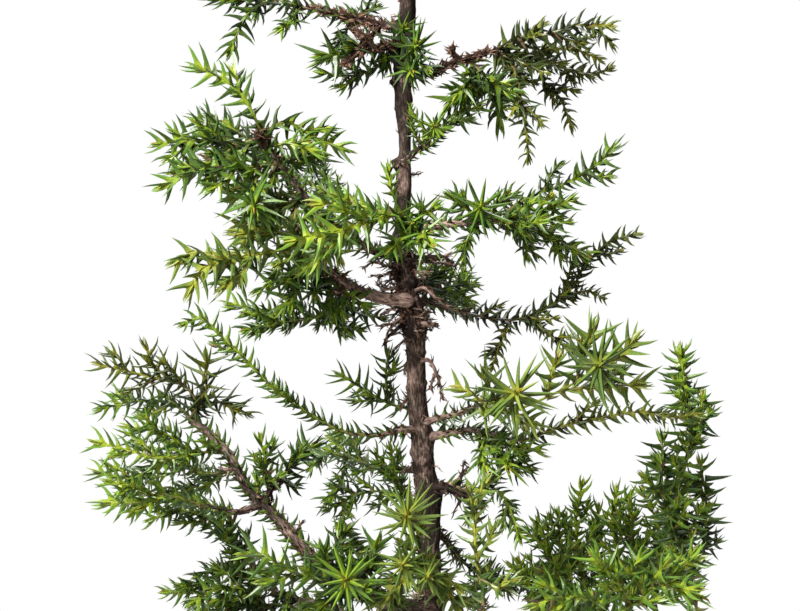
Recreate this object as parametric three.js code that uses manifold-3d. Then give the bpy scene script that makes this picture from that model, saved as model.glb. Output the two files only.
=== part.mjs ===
// Japanese cedar bonsai in a plain clay pot.
// Millimetres, +Z up. The pot stands on z = 0, and the tree is seen from the front along +Y.
import * as THREE from 'three';
import Module from 'manifold-3d';

const wasm = await Module();
wasm.setup();

// Driving dimensions of the tree
const VIEW_SCALE = 0.45;          // mm of tree for one step across or down the front view
const VIEW_AXIS = 400;            // step across that stands over the middle of the pot
const VIEW_EYE_LINE = 305.5;      // step down that is level with the eye
const EYE_HEIGHT = 247;           // mm from the table to the eye line
const EYE_DISTANCE = 800;         // mm from the eye to the trunk
const WELD = 0.02;                // mm, corners of a fused piece closer than this are merged
const CLEARANCE = 0.3;            // mm between pieces that grow on or stand in each other

// Driving dimensions of the wood
const TRUNK_SIDES = 8;
const TRUNK_STEP = 10;
const LIMB_STEP = 13;
const LIMB_SIDES = [[2, 5], [1, 4], [0, 3]];  // sides of a limb that starts at least this thick
const BARK_RELIEF = 0.06;         // depth of the furrows as a share of the radius
const ROD_STEP = 3;               // mm, length of the straight rods that follow the wood and the stems

// Driving dimensions of the green shoots
const STEM_RADIUS = 0.7;
const STEM_TIP_RADIUS = 0.5;
const WHORL_STEP = 7.3;           // mm along a stem between two rings of three needles
const WHORL_TURN = THREE.MathUtils.degToRad(72);
const BUD_STEP = 2.6;             // mm, the last ring is this close to the tip of a stem
const NEEDLE_LEAN = THREE.MathUtils.degToRad(62);
const NEEDLE_TIP_LEAN = THREE.MathUtils.degToRad(26);
const NEEDLE_LOW = 0.78;          // length of the needles at the foot of a stem, as a share
const NEEDLE_HIGH = 1.08;         // the same near its tip
const NEEDLE_BUD = 0.85;          // the same for the young needles of the bud, times that
const NEEDLE_END = 0.7;           // the same for the one that ends the stem
const NEEDLE_BASE_RADIUS = 1;
const NEEDLE_TIP_RADIUS = 0.08;
const BUD_REACH = 9;              // mm at the tip of a stem along which the needles close up
const NEEDLE_SHARES = [1, 0.8, 0.6, 0.42, 0.26, 0.1]; // a crowded needle takes the first that is clear
const NEEDLE_PROBES = [0.15, 0.3, 0.45, 0.6, 0.8, 1]; // where along a needle its clearance is measured
const START_STEP = 0.15;          // mm between the places tried for the start of a stem
const START_STRETCH = 0.5;
const START_REACH = 12;
const HEADING_REACH = 6;          // mm along a stem that tell which way it sets out
const HEADING_WEIGHT = 2;
const SOCKETS_TRIED = 6;          // sockets that a stem may start on, best first
const AXIS_SHARE = 0.1;           // share of a stem below a needle, taken as straight
const NEARLY_UPRIGHT = 0.2;       // sine of the angle to the upright below which a stem counts as upright
const WOOD_HEART = 0.6;           // share of the wood's radius that is inside it at every corner
const SPRAY_TURN = 1.9;           // radians that the first side shoot turns from spray to spray
const SIDE_LEAN = THREE.MathUtils.degToRad(48);
const SIDE_TURN = THREE.MathUtils.degToRad(137.5);
const SIDE_STRAIGHTEN = 0.6;      // lean of a side shoot's outer half as a share of its inner half's
const SIDE_FEWER = 2;             // one side shoot grows for so many of the listed ones
const SIDE_FROM = 0.22;           // share of the parent where its first side shoots are
const SIDE_TO = 0.88;
const SIDE_NEEDLE = 0.9;          // length of its needles as a share of the parent's
const SIDE_FIRST = 1.1;           // length of a side shoot at the parent's foot, as a share of the full one
const SIDE_LAST = 0.6;            // the same at its tip
const SIDE_SHARE = 0.34;          // full length of a side shoot as a share of its parent's
const SIDE_LENGTH_MIN = 7;
const SIDE_LENGTH_MAX = 17;
const SIDE_PROBES = [0.45, 0.6, 0.8, 1]; // where along a side shoot its clearance is measured

// Driving dimensions of the pot
const POT_LENGTH = 168;
const POT_DEPTH = 124;
const POT_HEIGHT = 54;
const POT_CORNER = 20;
const POT_CORNER_MIN = 4;
const POT_CORNER_STEPS = 3;
const POT_BELLY = 1.2;            // mm that the wall swells at half its height
const POT_WALL = 6;
const POT_FLOOR = 7;
const POT_TAPER = 8;              // mm that each wall leans in towards the foot
const RIM_HEIGHT = 8;
const RIM_OVERHANG = 3.5;
const RIM_COVE = 1.5;             // mm up the rim over which its foot runs out
const RIM_ROUND = 1.2;            // mm that the rim's top edge is taken off
const FLOOR_ROUND = 4;            // mm up the inside over which the floor meets the wall
const FLOOR_INSET = 3;
const MOUTH_FLARE = 3;
const FOOT_LENGTH = 30;
const FOOT_DEPTH = 22;
const FOOT_HEIGHT = 6;
const FOOT_TAPER = 4;             // mm that a foot is narrower at its sole
const FOOT_CORNER = 5;
const FOOT_END_GAP = 7;           // mm between a foot and the end of the pot's underside
const FOOT_SIDE_GAP = 4;
const DRAIN_RADIUS = 6;
const DRAIN_SIDES = 10;
const DRAIN_SPACING = 60;
const SOIL_BELOW_RIM = 4;
const SOIL_MOUND = 7;
const SOIL_SLACK = 0.4;           // mm more than the clearance beside the rim
const MOUND_STEPS = [[0.45, 16], [0.85, 34], [1, 50]];  // share of the mound's height, mm from the rim

const CLAY = new THREE.MeshStandardMaterial({ color: '#6b4a3c', roughness: 0.85, metalness: 0 });
const GRIT = new THREE.MeshStandardMaterial({ color: '#6d5a44', roughness: 0.98, metalness: 0 });
const BARK = new THREE.MeshStandardMaterial({ color: '#6a5347', roughness: 0.92, metalness: 0 });
const GREEN = new THREE.MeshStandardMaterial({ color: '#42682c', roughness: 0.55, metalness: 0 });
const BRIGHT = new THREE.MeshStandardMaterial({ color: '#6f943a', roughness: 0.5, metalness: 0 });

// Routes are lists of places in the front view, each [across, down, depth]:
// steps across and down the view, and mm behind the trunk (less than 0 is in front of it).

// The trunk's places, each with the trunk's radius in mm behind it
const TRUNK = [
  [437, 760, 0, 8.8], [437, 728, 0, 8.4], [436, 700, 0, 7], [434, 665, 0, 6.2],
  [432, 611, 0, 5.4], [430, 550, 0, 4.6], [428, 500, 0, 5.7], [424, 470, 0, 5],
  [422, 440, 0, 5.4], [417, 400, 0, 4.7], [416, 360, 0, 5], [415, 328, 0, 5.8],
  [408, 298, 0, 5.2], [403, 250, 0, 4.2], [403, 195, 0, 3.8], [405, 150, 0, 3.2],
  [403, 100, 0, 3.9], [403, 60, 0, 4], [407, 20, 0, 4], [408, -15, 1, 3.4],
  [406, -60, 2, 2.8], [409, -105, 1, 2.2], [406, -150, 0, 1.6], [408, -185, 0, 1.1],
];

// Roots, limbs and dead twigs: radius where it starts, radius at its end, then its route
const LIMBS = {
  "root_left": [4.6, 1.8, [437, 716, 0], [410, 727, -4], [382, 738, -8], [350, 760, -12]],
  "root_front_left": [4.2, 1.7, [437, 716, 0], [424, 728, -14], [412, 738, -28], [404, 758, -42]],
  "root_front_right": [4.4, 1.7, [437, 716, 0], [456, 727, -12], [474, 739, -22], [496, 760, -34]],
  "root_right": [4.2, 1.7, [437, 716, 0], [464, 728, 5], [492, 742, 10], [520, 764, 14]],
  "root_back": [4.4, 1.8, [437, 716, 0], [430, 728, 16], [424, 739, 30], [416, 760, 44]],
  "right_high": [1.9, 1.1, [403, 74, 0], [425, 74, -3], [442, 68, -5], [470, 58, -8], [500, 49, -10]],
  "right_high_spur": [0.7, 0.4, [458, 62, -6], [455, 54, -9], [450, 47, -11]],
  "left_high": [1.7, 1, [406, 28, 0], [382, 25, 4], [350, 17, 6], [312, 9, 8]],
  "left_high_spur": [0.7, 0.4, [382, 25, 4], [372, 36, 1], [366, 34, -3]],
  "right_upper": [1.2, 0.8, [405, 160, 0], [415, 152, -4], [426, 144, -7]],
  "left_front": [2, 1.1, [403, 258, 0], [372, 250, -22], [332, 224, -40], [298, 188, -52], [262, 138, -58]],
  "left_stub": [2.4, 1.4, [410, 300, 0], [398, 299, -6], [384, 298, -8], [362, 292, -6], [345, 284, -3],
    [328, 271, 1], [308, 263, 5]],
  "left_stub_twig": [0.8, 0.5, [408, 303, -2], [394, 308, -9], [380, 315, -11]],
  "left_dead_fork": [0.7, 0.4, [362, 292, -6], [348, 296, -12], [334, 290, -15]],
  "left_dead_hanging": [0.8, 0.4, [413, 320, 0], [398, 322, -7], [388, 332, -9], [386, 342, -9]],
  "right_middle": [1.5, 1, [403, 230, 0], [440, 225, -4], [480, 222, -8], [502, 221, -10]],
  "right_arch": [1.5, 1, [410, 300, 0], [434, 304, 6], [458, 311, 9]],
  "right_dead": [0.8, 0.4, [403, 262, 0], [430, 262, -7], [455, 265, -9]],
  "right_dead_fork": [0.6, 0.4, [430, 262, -7], [444, 256, -5], [452, 252, -6]],
  "right_knob": [1.3, 0.9, [414, 326, 0], [428, 325, -4], [438, 325, -6]],
  "left_long": [1.5, 1, [420, 430, 0], [400, 430, -6], [380, 436, -8]],
  "right_low": [1.7, 1, [422, 438, 0], [446, 434, -5], [470, 430, -8], [500, 436, -10]],
  "right_front": [1.4, 0.9, [420, 424, 0], [436, 419, -8], [456, 414, -16], [480, 405, -32]],
  "right_hook": [0.9, 0.5, [415, 365, 0], [428, 360, -6], [436, 372, -7], [440, 385, -7], [443, 400, -6]],
  "right_hook_spur": [0.6, 0.4, [436, 372, -7], [432, 382, -9], [430, 390, -9]],
  "right_knee": [1.3, 0.8, [428, 486, 0], [450, 485, -7], [470, 492, -10]],
  "right_knee_fork": [0.7, 0.4, [450, 485, -7], [462, 476, -9], [468, 466, -10]],
  "left_main": [3.1, 1.2, [432, 612, 0], [400, 606, -5], [362, 593, -9], [325, 570, -12], [300, 545, -12],
    [276, 517, -11], [262, 503, -11], [248, 488, -12], [236, 468, -14], [225, 450, -14], [205, 430, -12],
    [190, 420, -10]],
  "left_main_west": [1.4, 0.8, [262, 503, -11], [240, 512, -15], [218, 508, -18], [200, 505, -20]],
  "left_back_low": [2.3, 1, [434, 660, 0], [385, 636, 18], [330, 607, 25], [300, 600, 28], [270, 588, 30],
    [250, 560, 30]],
  "right_back_low": [2.4, 1.4, [433, 650, 0], [480, 642, 12], [540, 628, 30]],
  "right_front_low": [2.1, 1.1, [434, 672, 0], [482, 668, -26], [540, 652, -46], [600, 626, -55]],
  "right_edge": [2.2, 1.1, [433, 640, 0], [500, 655, -2], [580, 652, -4], [650, 642, -8], [692, 626, -8]],
  "front_low": [1.4, 1, [432, 600, 0], [424, 566, -26]],
  "front_right": [1.5, 0.9, [433, 655, 0], [452, 640, -34], [474, 625, -66], [484, 604, -80]],
  "front_rise": [1.3, 0.9, [403, 248, 0], [409, 238, -20], [411, 224, -42]],
  "back_upper": [1.5, 0.9, [404, 214, 0], [385, 214, 20], [362, 210, 38]],
  "back_middle": [1.7, 1, [410, 302, 0], [425, 302, 22], [438, 298, 42]],
  "back_low_left": [1.8, 1, [424, 470, 0], [402, 470, 24], [380, 470, 44]],
  "back_low_right": [1.8, 1, [428, 522, 0], [446, 541, 24], [462, 562, 44]],
  "back_bottom": [1.8, 1, [434, 690, 0], [422, 672, 28], [408, 650, 50]],
  "left_low": [2, 1, [435, 690, 0], [380, 680, -12], [330, 668, -20], [280, 655, -24]],
};

// Sprays: a list of stems for each, the first one growing from the wood and the others from it.
// Each stem gives its needle length in mm, its number of side shoots, then its route.
const SPRAYS = {
  "crown_leader": [
    [8, 3, [408, -185, 0], [410, -206, 2], [407, -232, 0]],
    [8, 1, [409, -192, 1], [424, -206, -10], [436, -222, -14]],
    [8, 1, [409, -196, 1], [394, -208, 10], [384, -222, 14]]],
  "crown_left": [
    [8, 3, [406, -60, 2], [385, -80, -8], [360, -92, -14], [336, -112, -18]],
    [8, 2, [392, -73, -5], [384, -98, 2], [370, -124, 6]]],
  "crown_right": [
    [8, 3, [409, -98, 1], [430, -118, 8], [454, -128, 12], [474, -146, 14]],
    [8, 2, [422, -111, 5], [432, -136, -8], [448, -158, -14]]],
  "crown_front": [
    [8, 3, [407, -35, 2], [415, -50, -22], [430, -62, -46]],
    [8, 2, [410, -42, -8], [390, -52, -26], [374, -58, -38]]],
  "crown_back": [
    [8, 3, [408, -76, 2], [398, -96, 24], [384, -110, 48]],
    [8, 2, [404, -84, 10], [422, -96, 28], [440, -104, 40]]],
  "right_high_crest": [
    [8, 2, [500, 49, -10], [520, 38, -12], [545, 24, -13]],
    [7.5, 3, [516, 41, -12], [548, 34, -16], [580, 25, -18], [600, 33, -18], [613, 46, -17]]],
  "right_high_middle": [
    [7.5, 3, [490, 52, -9], [522, 56, -3], [550, 49, -1], [580, 51, 0], [602, 61, 1]],
    [7, 2, [530, 54, -2], [556, 66, 8], [590, 74, 10], [612, 68, 11]],
    [7.5, 1, [538, 52, -2], [544, 82, 12], [560, 98, 14], [572, 128, 16]],
    [7, 1, [508, 54, -6], [517, 78, -16], [522, 108, -20], [527, 138, -21], [528, 162, -20]]],
  "right_high_inner": [
    [8, 1, [470, 58, -8], [480, 78, -6], [470, 102, -9]],
    [8, 1, [479, 76, -6], [494, 100, 0], [500, 124, 2]],
    [8, 1, [474, 66, -7], [492, 82, -16], [510, 92, -20]],
    [8, 1, [477, 82, -7], [458, 92, -12], [446, 108, -14]]],
  "front_high_star": [
    [13, 0, [404, 62, -3], [412, 54, -14], [416, 44, -26]],
    [10, 0, [411, 56, -12], [420, 64, -18], [428, 70, -22]]],
  "right_upper": [
    [8, 1, [426, 144, -7], [438, 130, -12], [458, 114, -14], [480, 106, -14]],
    [7, 0, [431, 138, -9], [420, 124, -12], [412, 114, -12]],
    [9, 0, [436, 132, -11], [436, 130, -19], [434, 126, -27]]],
  "right_middle_star": [
    [14, 0, [480, 222, -8], [480, 213, -18], [481, 206, -29]],
    [7, 1, [480, 219, -11], [468, 238, -12], [464, 262, -10]],
    [9, 1, [480, 217, -13], [464, 206, -18], [450, 196, -20]]],
  "right_middle_long": [
    [7.5, 4, [502, 221, -10], [514, 206, -9], [540, 193, -8], [562, 185, -7], [586, 172, -6],
      [602, 160, -5], [613, 148, -5]]],
  "right_middle_cluster": [
    [8, 2, [492, 222, -9], [526, 217, -18], [552, 207, -22], [574, 199, -23]],
    [8, 2, [512, 220, -14], [530, 230, -8], [548, 232, -3], [570, 249, 1], [584, 258, 2]]],
  "right_arch": [
    [8, 5, [458, 311, 9], [484, 317, 11], [512, 320, 12], [540, 312, 12], [570, 290, 10],
      [586, 264, 8], [610, 242, 6], [640, 234, 5]],
    [6.5, 1, [508, 320, 12], [500, 344, 8], [491, 370, 6]],
    [6.5, 1, [526, 317, 12], [556, 340, 2], [576, 355, -8]],
    [6, 0, [560, 299, 11], [586, 291, 14], [604, 298, 16]]],
  "right_back_cluster": [
    [8, 2, [411, 288, 3], [430, 282, 22], [450, 286, 38], [474, 304, 44]],
    [8, 1, [428, 282, 20], [446, 266, 42]]],
  "front_star_left": [
    [14, 0, [480, 405, -32], [502, 399, -52], [518, 393, -72]],
    [9, 1, [492, 402, -42], [516, 414, -54], [536, 424, -60]],
    [9, 0, [498, 400, -48], [488, 384, -58], [484, 374, -62]],
    [8, 0, [485, 404, -36], [470, 392, -36], [458, 388, -34]]],
  "front_star_right": [
    [15, 0, [464, 411, -22], [508, 412, -30], [558, 392, -48], [588, 374, -62], [601, 364, -80]],
    [11, 1, [575, 382, -56], [586, 352, -62], [592, 330, -64]],
    [11, 0, [588, 374, -62], [618, 356, -62], [634, 340, -62]],
    [10, 1, [560, 391, -49], [600, 386, -50], [640, 385, -52]],
    [9, 0, [548, 397, -44], [552, 374, -50], [558, 358, -54]]],
  "right_low_long": [
    [9, 4, [500, 436, -10], [524, 440, -10], [560, 427, -8], [600, 418, -10], [640, 412, -16],
      [670, 417, -21], [700, 414, -25]]],
  "right_low_star": [
    [11, 0, [486, 433, -10], [498, 450, -17], [508, 466, -29]],
    [8, 1, [497, 448, -16], [514, 464, -14], [534, 470, -13]]],
  "right_hanging": [
    [7.5, 2, [470, 492, -10], [490, 488, -12], [507, 502, -13], [520, 540, -13]],
    [7, 0, [480, 489, -11], [478, 506, -4], [466, 522, -2]],
    [7, 1, [484, 488, -11], [496, 478, -18], [502, 466, -22]]],
  "right_edge_rise": [
    [9, 6, [692, 626, -8], [696, 600, -8], [686, 560, -8], [680, 520, -8], [679, 490, -7],
      [689, 450, -6], [687, 410, -5], [684, 380, -5], [680, 350, -5]],
    [9, 3, [690, 580, -8], [704, 540, 6], [706, 500, 10], [700, 462, 10]]],
  "right_back_fan": [
    [8, 2, [540, 628, 30], [570, 618, 42], [604, 600, 50], [640, 584, 54], [664, 556, 54], [656, 520, 54],
      [642, 490, 52]],
    [8, 3, [556, 622, 37], [548, 590, 36], [550, 552, 38], [537, 520, 38]],
    [8, 2, [592, 606, 49], [580, 562, 54], [576, 522, 56], [582, 484, 56]],
    [8, 2, [622, 592, 52], [618, 556, 46], [612, 520, 46], [617, 488, 48]],
    [8, 2, [652, 574, 54], [680, 566, 46], [700, 548, 44]]],
  "right_front_bottom": [
    [9, 3, [600, 626, -55], [634, 604, -62], [660, 584, -64], [700, 598, -64]],
    [9, 2, [612, 617, -58], [592, 602, -64], [562, 597, -67], [532, 606, -68]],
    [9, 1, [645, 594, -64], [632, 572, -66], [642, 556, -68]]],
  "front_right_rise": [
    [9, 3, [484, 604, -80], [479, 570, -83], [475, 540, -84], [478, 500, -82], [488, 478, -82]],
    [10, 1, [481, 580, -82], [498, 588, -86], [514, 582, -90]]],
  "front_low_star": [
    [13, 1, [424, 566, -26], [415, 540, -44], [410, 526, -56], [407, 515, -70]],
    [10, 0, [420, 556, -34], [408, 562, -46], [402, 566, -56]],
    [10, 0, [422, 560, -30], [428, 572, -44], [427, 578, -56]],
    [9, 1, [423, 564, -28], [442, 576, -38], [460, 590, -46]]],
  "left_front_bottom": [
    [12, 1, [348, 586, -10], [350, 584, -34], [346, 580, -56]],
    [10, 2, [349, 585, -26], [320, 580, -36], [290, 570, -38], [264, 556, -38], [246, 555, -37]],
    [10, 1, [350, 585, -20], [368, 566, -30], [378, 542, -36]]],
  "left_main_top": [
    [9, 2, [318, 563, -12], [334, 548, -2], [348, 528, 4]],
    [9, 1, [333, 549, -3], [358, 552, 6], [378, 560, 10]]],
  "left_high_long": [
    [9, 3, [312, 9, 8], [280, 4, 10], [248, 0, 10], [216, -2, 9]],
    [10, 0, [266, 2, 10], [246, 16, 6], [230, 50, 4]],
    [8, 1, [296, 6, 9], [292, 20, 0], [280, 30, -4]]],
  "left_high_star": [
    [12, 1, [404, 46, 0], [380, 46, -9], [350, 52, -15], [322, 56, -20]],
    [8, 1, [392, 46, -5], [376, 68, -3], [346, 76, -3], [320, 72, -4]]],
  "left_high_back": [
    [9, 2, [352, 18, 6], [344, 36, 18], [330, 58, 24]],
    [8, 1, [349, 24, 12], [366, 10, 20], [372, -8, 24]]],
  "left_front_crest": [
    [9, 2, [268, 147, -57], [256, 120, -64], [245, 100, -65], [225, 80, -64], [197, 67, -62]],
    [8, 2, [262, 134, -61], [286, 122, -56], [312, 136, -52], [344, 150, -50]]],
  "left_front_tip": [[9, 4, [262, 138, -58], [235, 144, -54], [200, 140, -52], [158, 144, -50]]],
  "left_front_lower": [
    [9, 3, [280, 163, -55], [240, 168, -64], [200, 170, -66], [164, 186, -64]],
    [13, 0, [258, 165, -60], [254, 188, -70], [254, 208, -84]]],
  "left_front_star": [
    [12, 1, [304, 196, -50], [272, 210, -44], [240, 226, -42]],
    [8, 1, [286, 204, -46], [262, 188, -36], [226, 190, -30]]],
  "front_sweep": [
    [10, 2, [411, 224, -42], [396, 214, -60], [370, 221, -72], [330, 234, -78], [292, 240, -80]],
    [9, 1, [388, 215, -64], [352, 204, -62], [318, 204, -62]],
    [9, 1, [352, 227, -76], [326, 250, -72], [302, 270, -66]]],
  "left_front_far": [
    [9, 3, [332, 224, -40], [294, 246, -60], [250, 256, -74], [206, 268, -82], [190, 290, -84]],
    [8, 1, [224, 262, -80], [196, 252, -78], [176, 262, -78]]],
  "left_stub_star": [
    [11, 0, [308, 263, 5], [298, 272, -4], [287, 280, -16]],
    [10, 0, [302, 268, 0], [314, 284, -8], [315, 297, -18]]],
  "left_stub_hanging": [
    [8, 4, [345, 284, -3], [336, 308, 4], [300, 320, 7], [264, 311, 9], [230, 305, 9]],
    [8, 0, [338, 304, 3], [362, 314, 6], [384, 318, 8]]],
  "left_long": [
    [8, 4, [380, 436, -8], [345, 432, -10], [318, 419, -12], [290, 400, -13], [265, 380, -14],
      [244, 358, -15], [220, 335, -15], [200, 318, -15], [182, 325, -15]]],
  "left_inner": [
    [8, 2, [418, 410, 2], [396, 406, 10], [378, 398, 13], [358, 385, 16], [340, 375, 18]],
    [7, 1, [388, 403, 12], [386, 380, 9], [388, 352, 8]]],
  "left_small": [[7, 1, [403, 200, 0], [392, 192, -5], [388, 166, -6]]],
  "left_top_shoot": [
    [8, 5, [190, 420, -10], [196, 402, -12], [184, 386, -13], [164, 380, -13], [130, 372, -12],
      [98, 364, -12]],
    [8, 1, [176, 383, -13], [154, 366, -16], [146, 346, -17]],
    [11, 0, [194, 406, -11], [206, 388, -24], [206, 358, -32]],
    [8, 1, [193, 410, -11], [222, 402, 2], [248, 414, 8]]],
  "left_west": [[8, 3, [202, 428, -11], [172, 404, 0], [136, 401, 4], [98, 410, 5]]],
  "left_bright": [
    [9, 3, [222, 447, -14], [196, 452, -24], [165, 434, -30], [128, 427, -32]],
    [9, 2, [200, 451, -22], [162, 458, -36], [120, 448, -38], [97, 442, -38]]],
  "left_mass": [
    [9, 4, [238, 472, -14], [205, 474, -6], [164, 462, -3], [132, 478, 0], [98, 472, 2]],
    [8, 2, [212, 474, -8], [192, 488, 8], [164, 498, 12]]],
  "left_tip_low": [
    [9, 3, [200, 505, -20], [164, 494, -24], [138, 502, -26], [104, 502, -26]],
    [8, 1, [152, 498, -25], [130, 486, -36], [108, 482, -40]]],
  "left_rise": [
    [9, 2, [255, 496, -11], [266, 470, -20], [260, 438, -24]],
    [10, 2, [262, 481, -17], [284, 474, -6], [300, 454, -2], [316, 444, 0]]],
  "left_back_fan": [
    [8, 2, [250, 560, 30], [228, 534, 28], [200, 514, 26], [172, 512, 24], [150, 520, 24]],
    [8, 2, [240, 548, 29], [218, 574, 24], [192, 590, 20], [164, 592, 18]]],
  "left_back_bottom": [
    [8, 3, [282, 594, 29], [262, 612, 24], [232, 618, 20], [200, 610, 16]],
    [9, 2, [268, 608, 26], [246, 590, 10], [218, 588, 4], [190, 604, 2]]],
  "left_dark": [
    [8, 3, [428, 512, 0], [404, 496, 12], [366, 492, 18], [326, 510, 20]],
    [9, 1, [404, 496, 12], [388, 472, 6], [376, 452, 2]]],
  "low_left": [[9, 4, [280, 655, -24], [250, 642, -30], [215, 642, -34], [180, 652, -36]]],
  "low_left_inner": [[9, 3, [330, 668, -20], [318, 640, -36], [296, 622, -50]]],
  "back_upper": [
    [8, 4, [362, 210, 38], [324, 192, 60], [290, 172, 78], [256, 158, 90]],
    [8, 2, [340, 200, 50], [326, 178, 70], [308, 152, 84]],
    [8, 1, [300, 178, 72], [296, 196, 86], [280, 214, 94]]],
  "back_middle": [
    [8, 4, [438, 298, 42], [452, 292, 66], [462, 282, 88], [464, 270, 102]],
    [8, 2, [448, 294, 56], [428, 278, 76], [414, 258, 90]],
    [8, 1, [453, 291, 68], [462, 306, 84], [470, 318, 94]]],
  "back_low_left": [
    [8, 4, [380, 470, 44], [350, 458, 66], [322, 454, 86], [296, 458, 100]],
    [8, 2, [362, 462, 58], [354, 446, 76], [336, 434, 88]],
    [8, 2, [344, 457, 70], [342, 480, 88], [326, 502, 98]]],
  "back_low_right": [
    [8, 4, [462, 562, 44], [500, 580, 64], [544, 572, 80], [582, 552, 92]],
    [8, 2, [478, 570, 54], [474, 590, 74], [470, 606, 86]],
    [8, 2, [516, 578, 70], [536, 596, 86], [556, 606, 94]]],
  "back_bottom": [
    [8, 4, [408, 650, 50], [392, 624, 72], [372, 596, 90], [350, 576, 102]],
    [8, 2, [398, 634, 64], [416, 612, 82], [420, 584, 94]]],
};
const BRIGHT_SPRAYS = ["left_front_crest", "front_sweep", "left_front_far", "left_bright", "left_tip_low",
  "front_right_rise", "front_low_star", "right_front_bottom", "right_upper", "left_west"];

// Turns a place in the front view, sighted from the eye, into a point of the model.
function sighted([across, down, depth]) {
  const spread = VIEW_SCALE * (1 + depth / EYE_DISTANCE);
  return new THREE.Vector3((across - VIEW_AXIS) * spread, depth,
    EYE_HEIGHT + (VIEW_EYE_LINE - down) * spread);
}

function curveThrough(points) {
  return new THREE.CatmullRomCurve3(points, false, 'catmullrom', 0.5);
}

// Makes a closed mesh from points and triangles into a solid that can be joined and cut.
function solidFrom(points, triangles) {
  return new wasm.Manifold(new wasm.Mesh({
    numProp: 3,
    vertProperties: new Float32Array(points.flatMap((point) => [point.x, point.y, point.z])),
    triVerts: new Uint32Array(triangles.flat()),
  }));
}

// The largest of the bodies that a cut leaves, without its loose scraps.
function largestBody(solid) {
  return solid.decompose().reduce((best, body) => (body.volume() > best.volume() ? body : best));
}

function geometryFrom(solid) {
  const { vertProperties, triVerts, numProp } = solid.getMesh();
  const geometry = new THREE.BufferGeometry();
  geometry.setAttribute('position', new THREE.BufferAttribute(vertProperties, numProp));
  geometry.setIndex(new THREE.BufferAttribute(triVerts, 1));
  return geometry;
}

// Joins rings of equally many points into one skin, closed by a flat fan at each end.
function skinOver(rings) {
  const sides = rings[0].length;
  const triangles = [];
  for (let ring = 0; ring + 1 < rings.length; ring += 1) {
    for (let side = 0; side < sides; side += 1) {
      const a = ring * sides + side;
      const b = ring * sides + (side + 1) % sides;
      triangles.push([a, b, b + sides], [a, b + sides, a + sides]);
    }
  }
  const last = (rings.length - 1) * sides;
  for (let side = 1; side + 1 < sides; side += 1) {
    triangles.push([0, side + 1, side], [last, last + side, last + side + 1]);
  }
  return solidFrom(rings.flat(), triangles);
}

// Furrows of the bark: the share of the radius that is left at an angle and a distance along.
function barkAt(angle, along) {
  const plates = Math.sin(5 * angle + 1.7 * Math.sin(along / 9)) * Math.sin(3 * angle - along / 14);
  return 1 - BARK_RELIEF * (0.5 + 0.5 * plates);
}

// A round, tapering piece of wood along a curve, thicker by the given margin.
function woodPiece(curve, radiusAt, sides, step, margin = 0) {
  const length = curve.getLength();
  const count = Math.max(2, Math.round(length / step));
  const frames = curve.computeFrenetFrames(count);
  const rings = [];
  for (let ring = 0; ring <= count; ring += 1) {
    const share = ring / count;
    const centre = curve.getPointAt(share);
    rings.push(Array.from({ length: sides }, (_, side) => {
      const angle = (side / sides) * 2 * Math.PI;
      const reach = radiusAt(share) * barkAt(angle, share * length) + margin;
      return centre.clone()
        .addScaledVector(frames.normals[ring], reach * Math.cos(angle))
        .addScaledVector(frames.binormals[ring], reach * Math.sin(angle));
    }));
  }
  return skinOver(rings);
}

// The trunk's radius where the curve's share of length is given, between its listed places.
function trunkRadiusAt(curve) {
  const radii = TRUNK.map((place) => place[3]);
  return (share) => {
    const place = curve.getUtoTmapping(share) * (radii.length - 1);
    const below = Math.min(Math.floor(place), radii.length - 2);
    return THREE.MathUtils.lerp(radii[below], radii[below + 1], place - below);
  };
}

function woodParts() {
  const trunk = curveThrough(TRUNK.map(sighted));
  const parts = [{ curve: trunk, radiusAt: trunkRadiusAt(trunk), sides: TRUNK_SIDES, step: TRUNK_STEP }];
  for (const [start, end, ...route] of Object.values(LIMBS)) {
    parts.push({
      curve: curveThrough(route.map(sighted)),
      radiusAt: (share) => THREE.MathUtils.lerp(start, end, share),
      sides: LIMB_SIDES.find(([radius]) => start >= radius)[1],
      step: LIMB_STEP,
    });
  }
  return parts;
}

// Fuses the trunk, roots, limbs and twigs, which grew as one piece.
function woodSolid(parts, margin = 0) {
  return parts
    .map(({ curve, radiusAt, sides, step }) => woodPiece(curve, radiusAt, sides, step, margin))
    .reduce((whole, piece) => whole.add(piece))
    .simplify(WELD);
}

// Short straight rods that follow a curve, to grow shoots from and to keep needles off it.
function rodsAlong(curve, radiusAt, owner) {
  const count = Math.max(2, Math.ceil(curve.getLength() / ROD_STEP));
  const rods = [];
  for (let rod = 0; rod < count; rod += 1) {
    const [from, to] = [rod / count, (rod + 1) / count];
    rods.push({
      line: new THREE.Line3(curve.getPointAt(from), curve.getPointAt(to)),
      radii: [radiusAt(from), radiusAt(to)],
      owner,
    });
  }
  return rods;
}

function gapToRod(point, rod) {
  const share = rod.line.closestPointToPointParameter(point, true);
  const nearest = rod.line.at(share, new THREE.Vector3());
  return nearest.distanceTo(point) - THREE.MathUtils.lerp(rod.radii[0], rod.radii[1], share);
}

function nearestOn(rods, point) {
  const places = rods.map((rod) => rod.line.closestPointToPoint(point, true, new THREE.Vector3()));
  return places.reduce((best, place) => (place.distanceTo(point) < best.distanceTo(point) ? place : best));
}

// A direction square to a stem, turned round it by an angle from the level direction.
function sideways(along, angle) {
  const level = new THREE.Vector3(along.y, -along.x, 0);
  if (level.length() < NEARLY_UPRIGHT) level.set(1, 0, 0);
  level.normalize();
  const across = new THREE.Vector3().crossVectors(level, along).normalize();
  return level.multiplyScalar(Math.cos(angle)).addScaledVector(across, Math.sin(angle));
}

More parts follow.
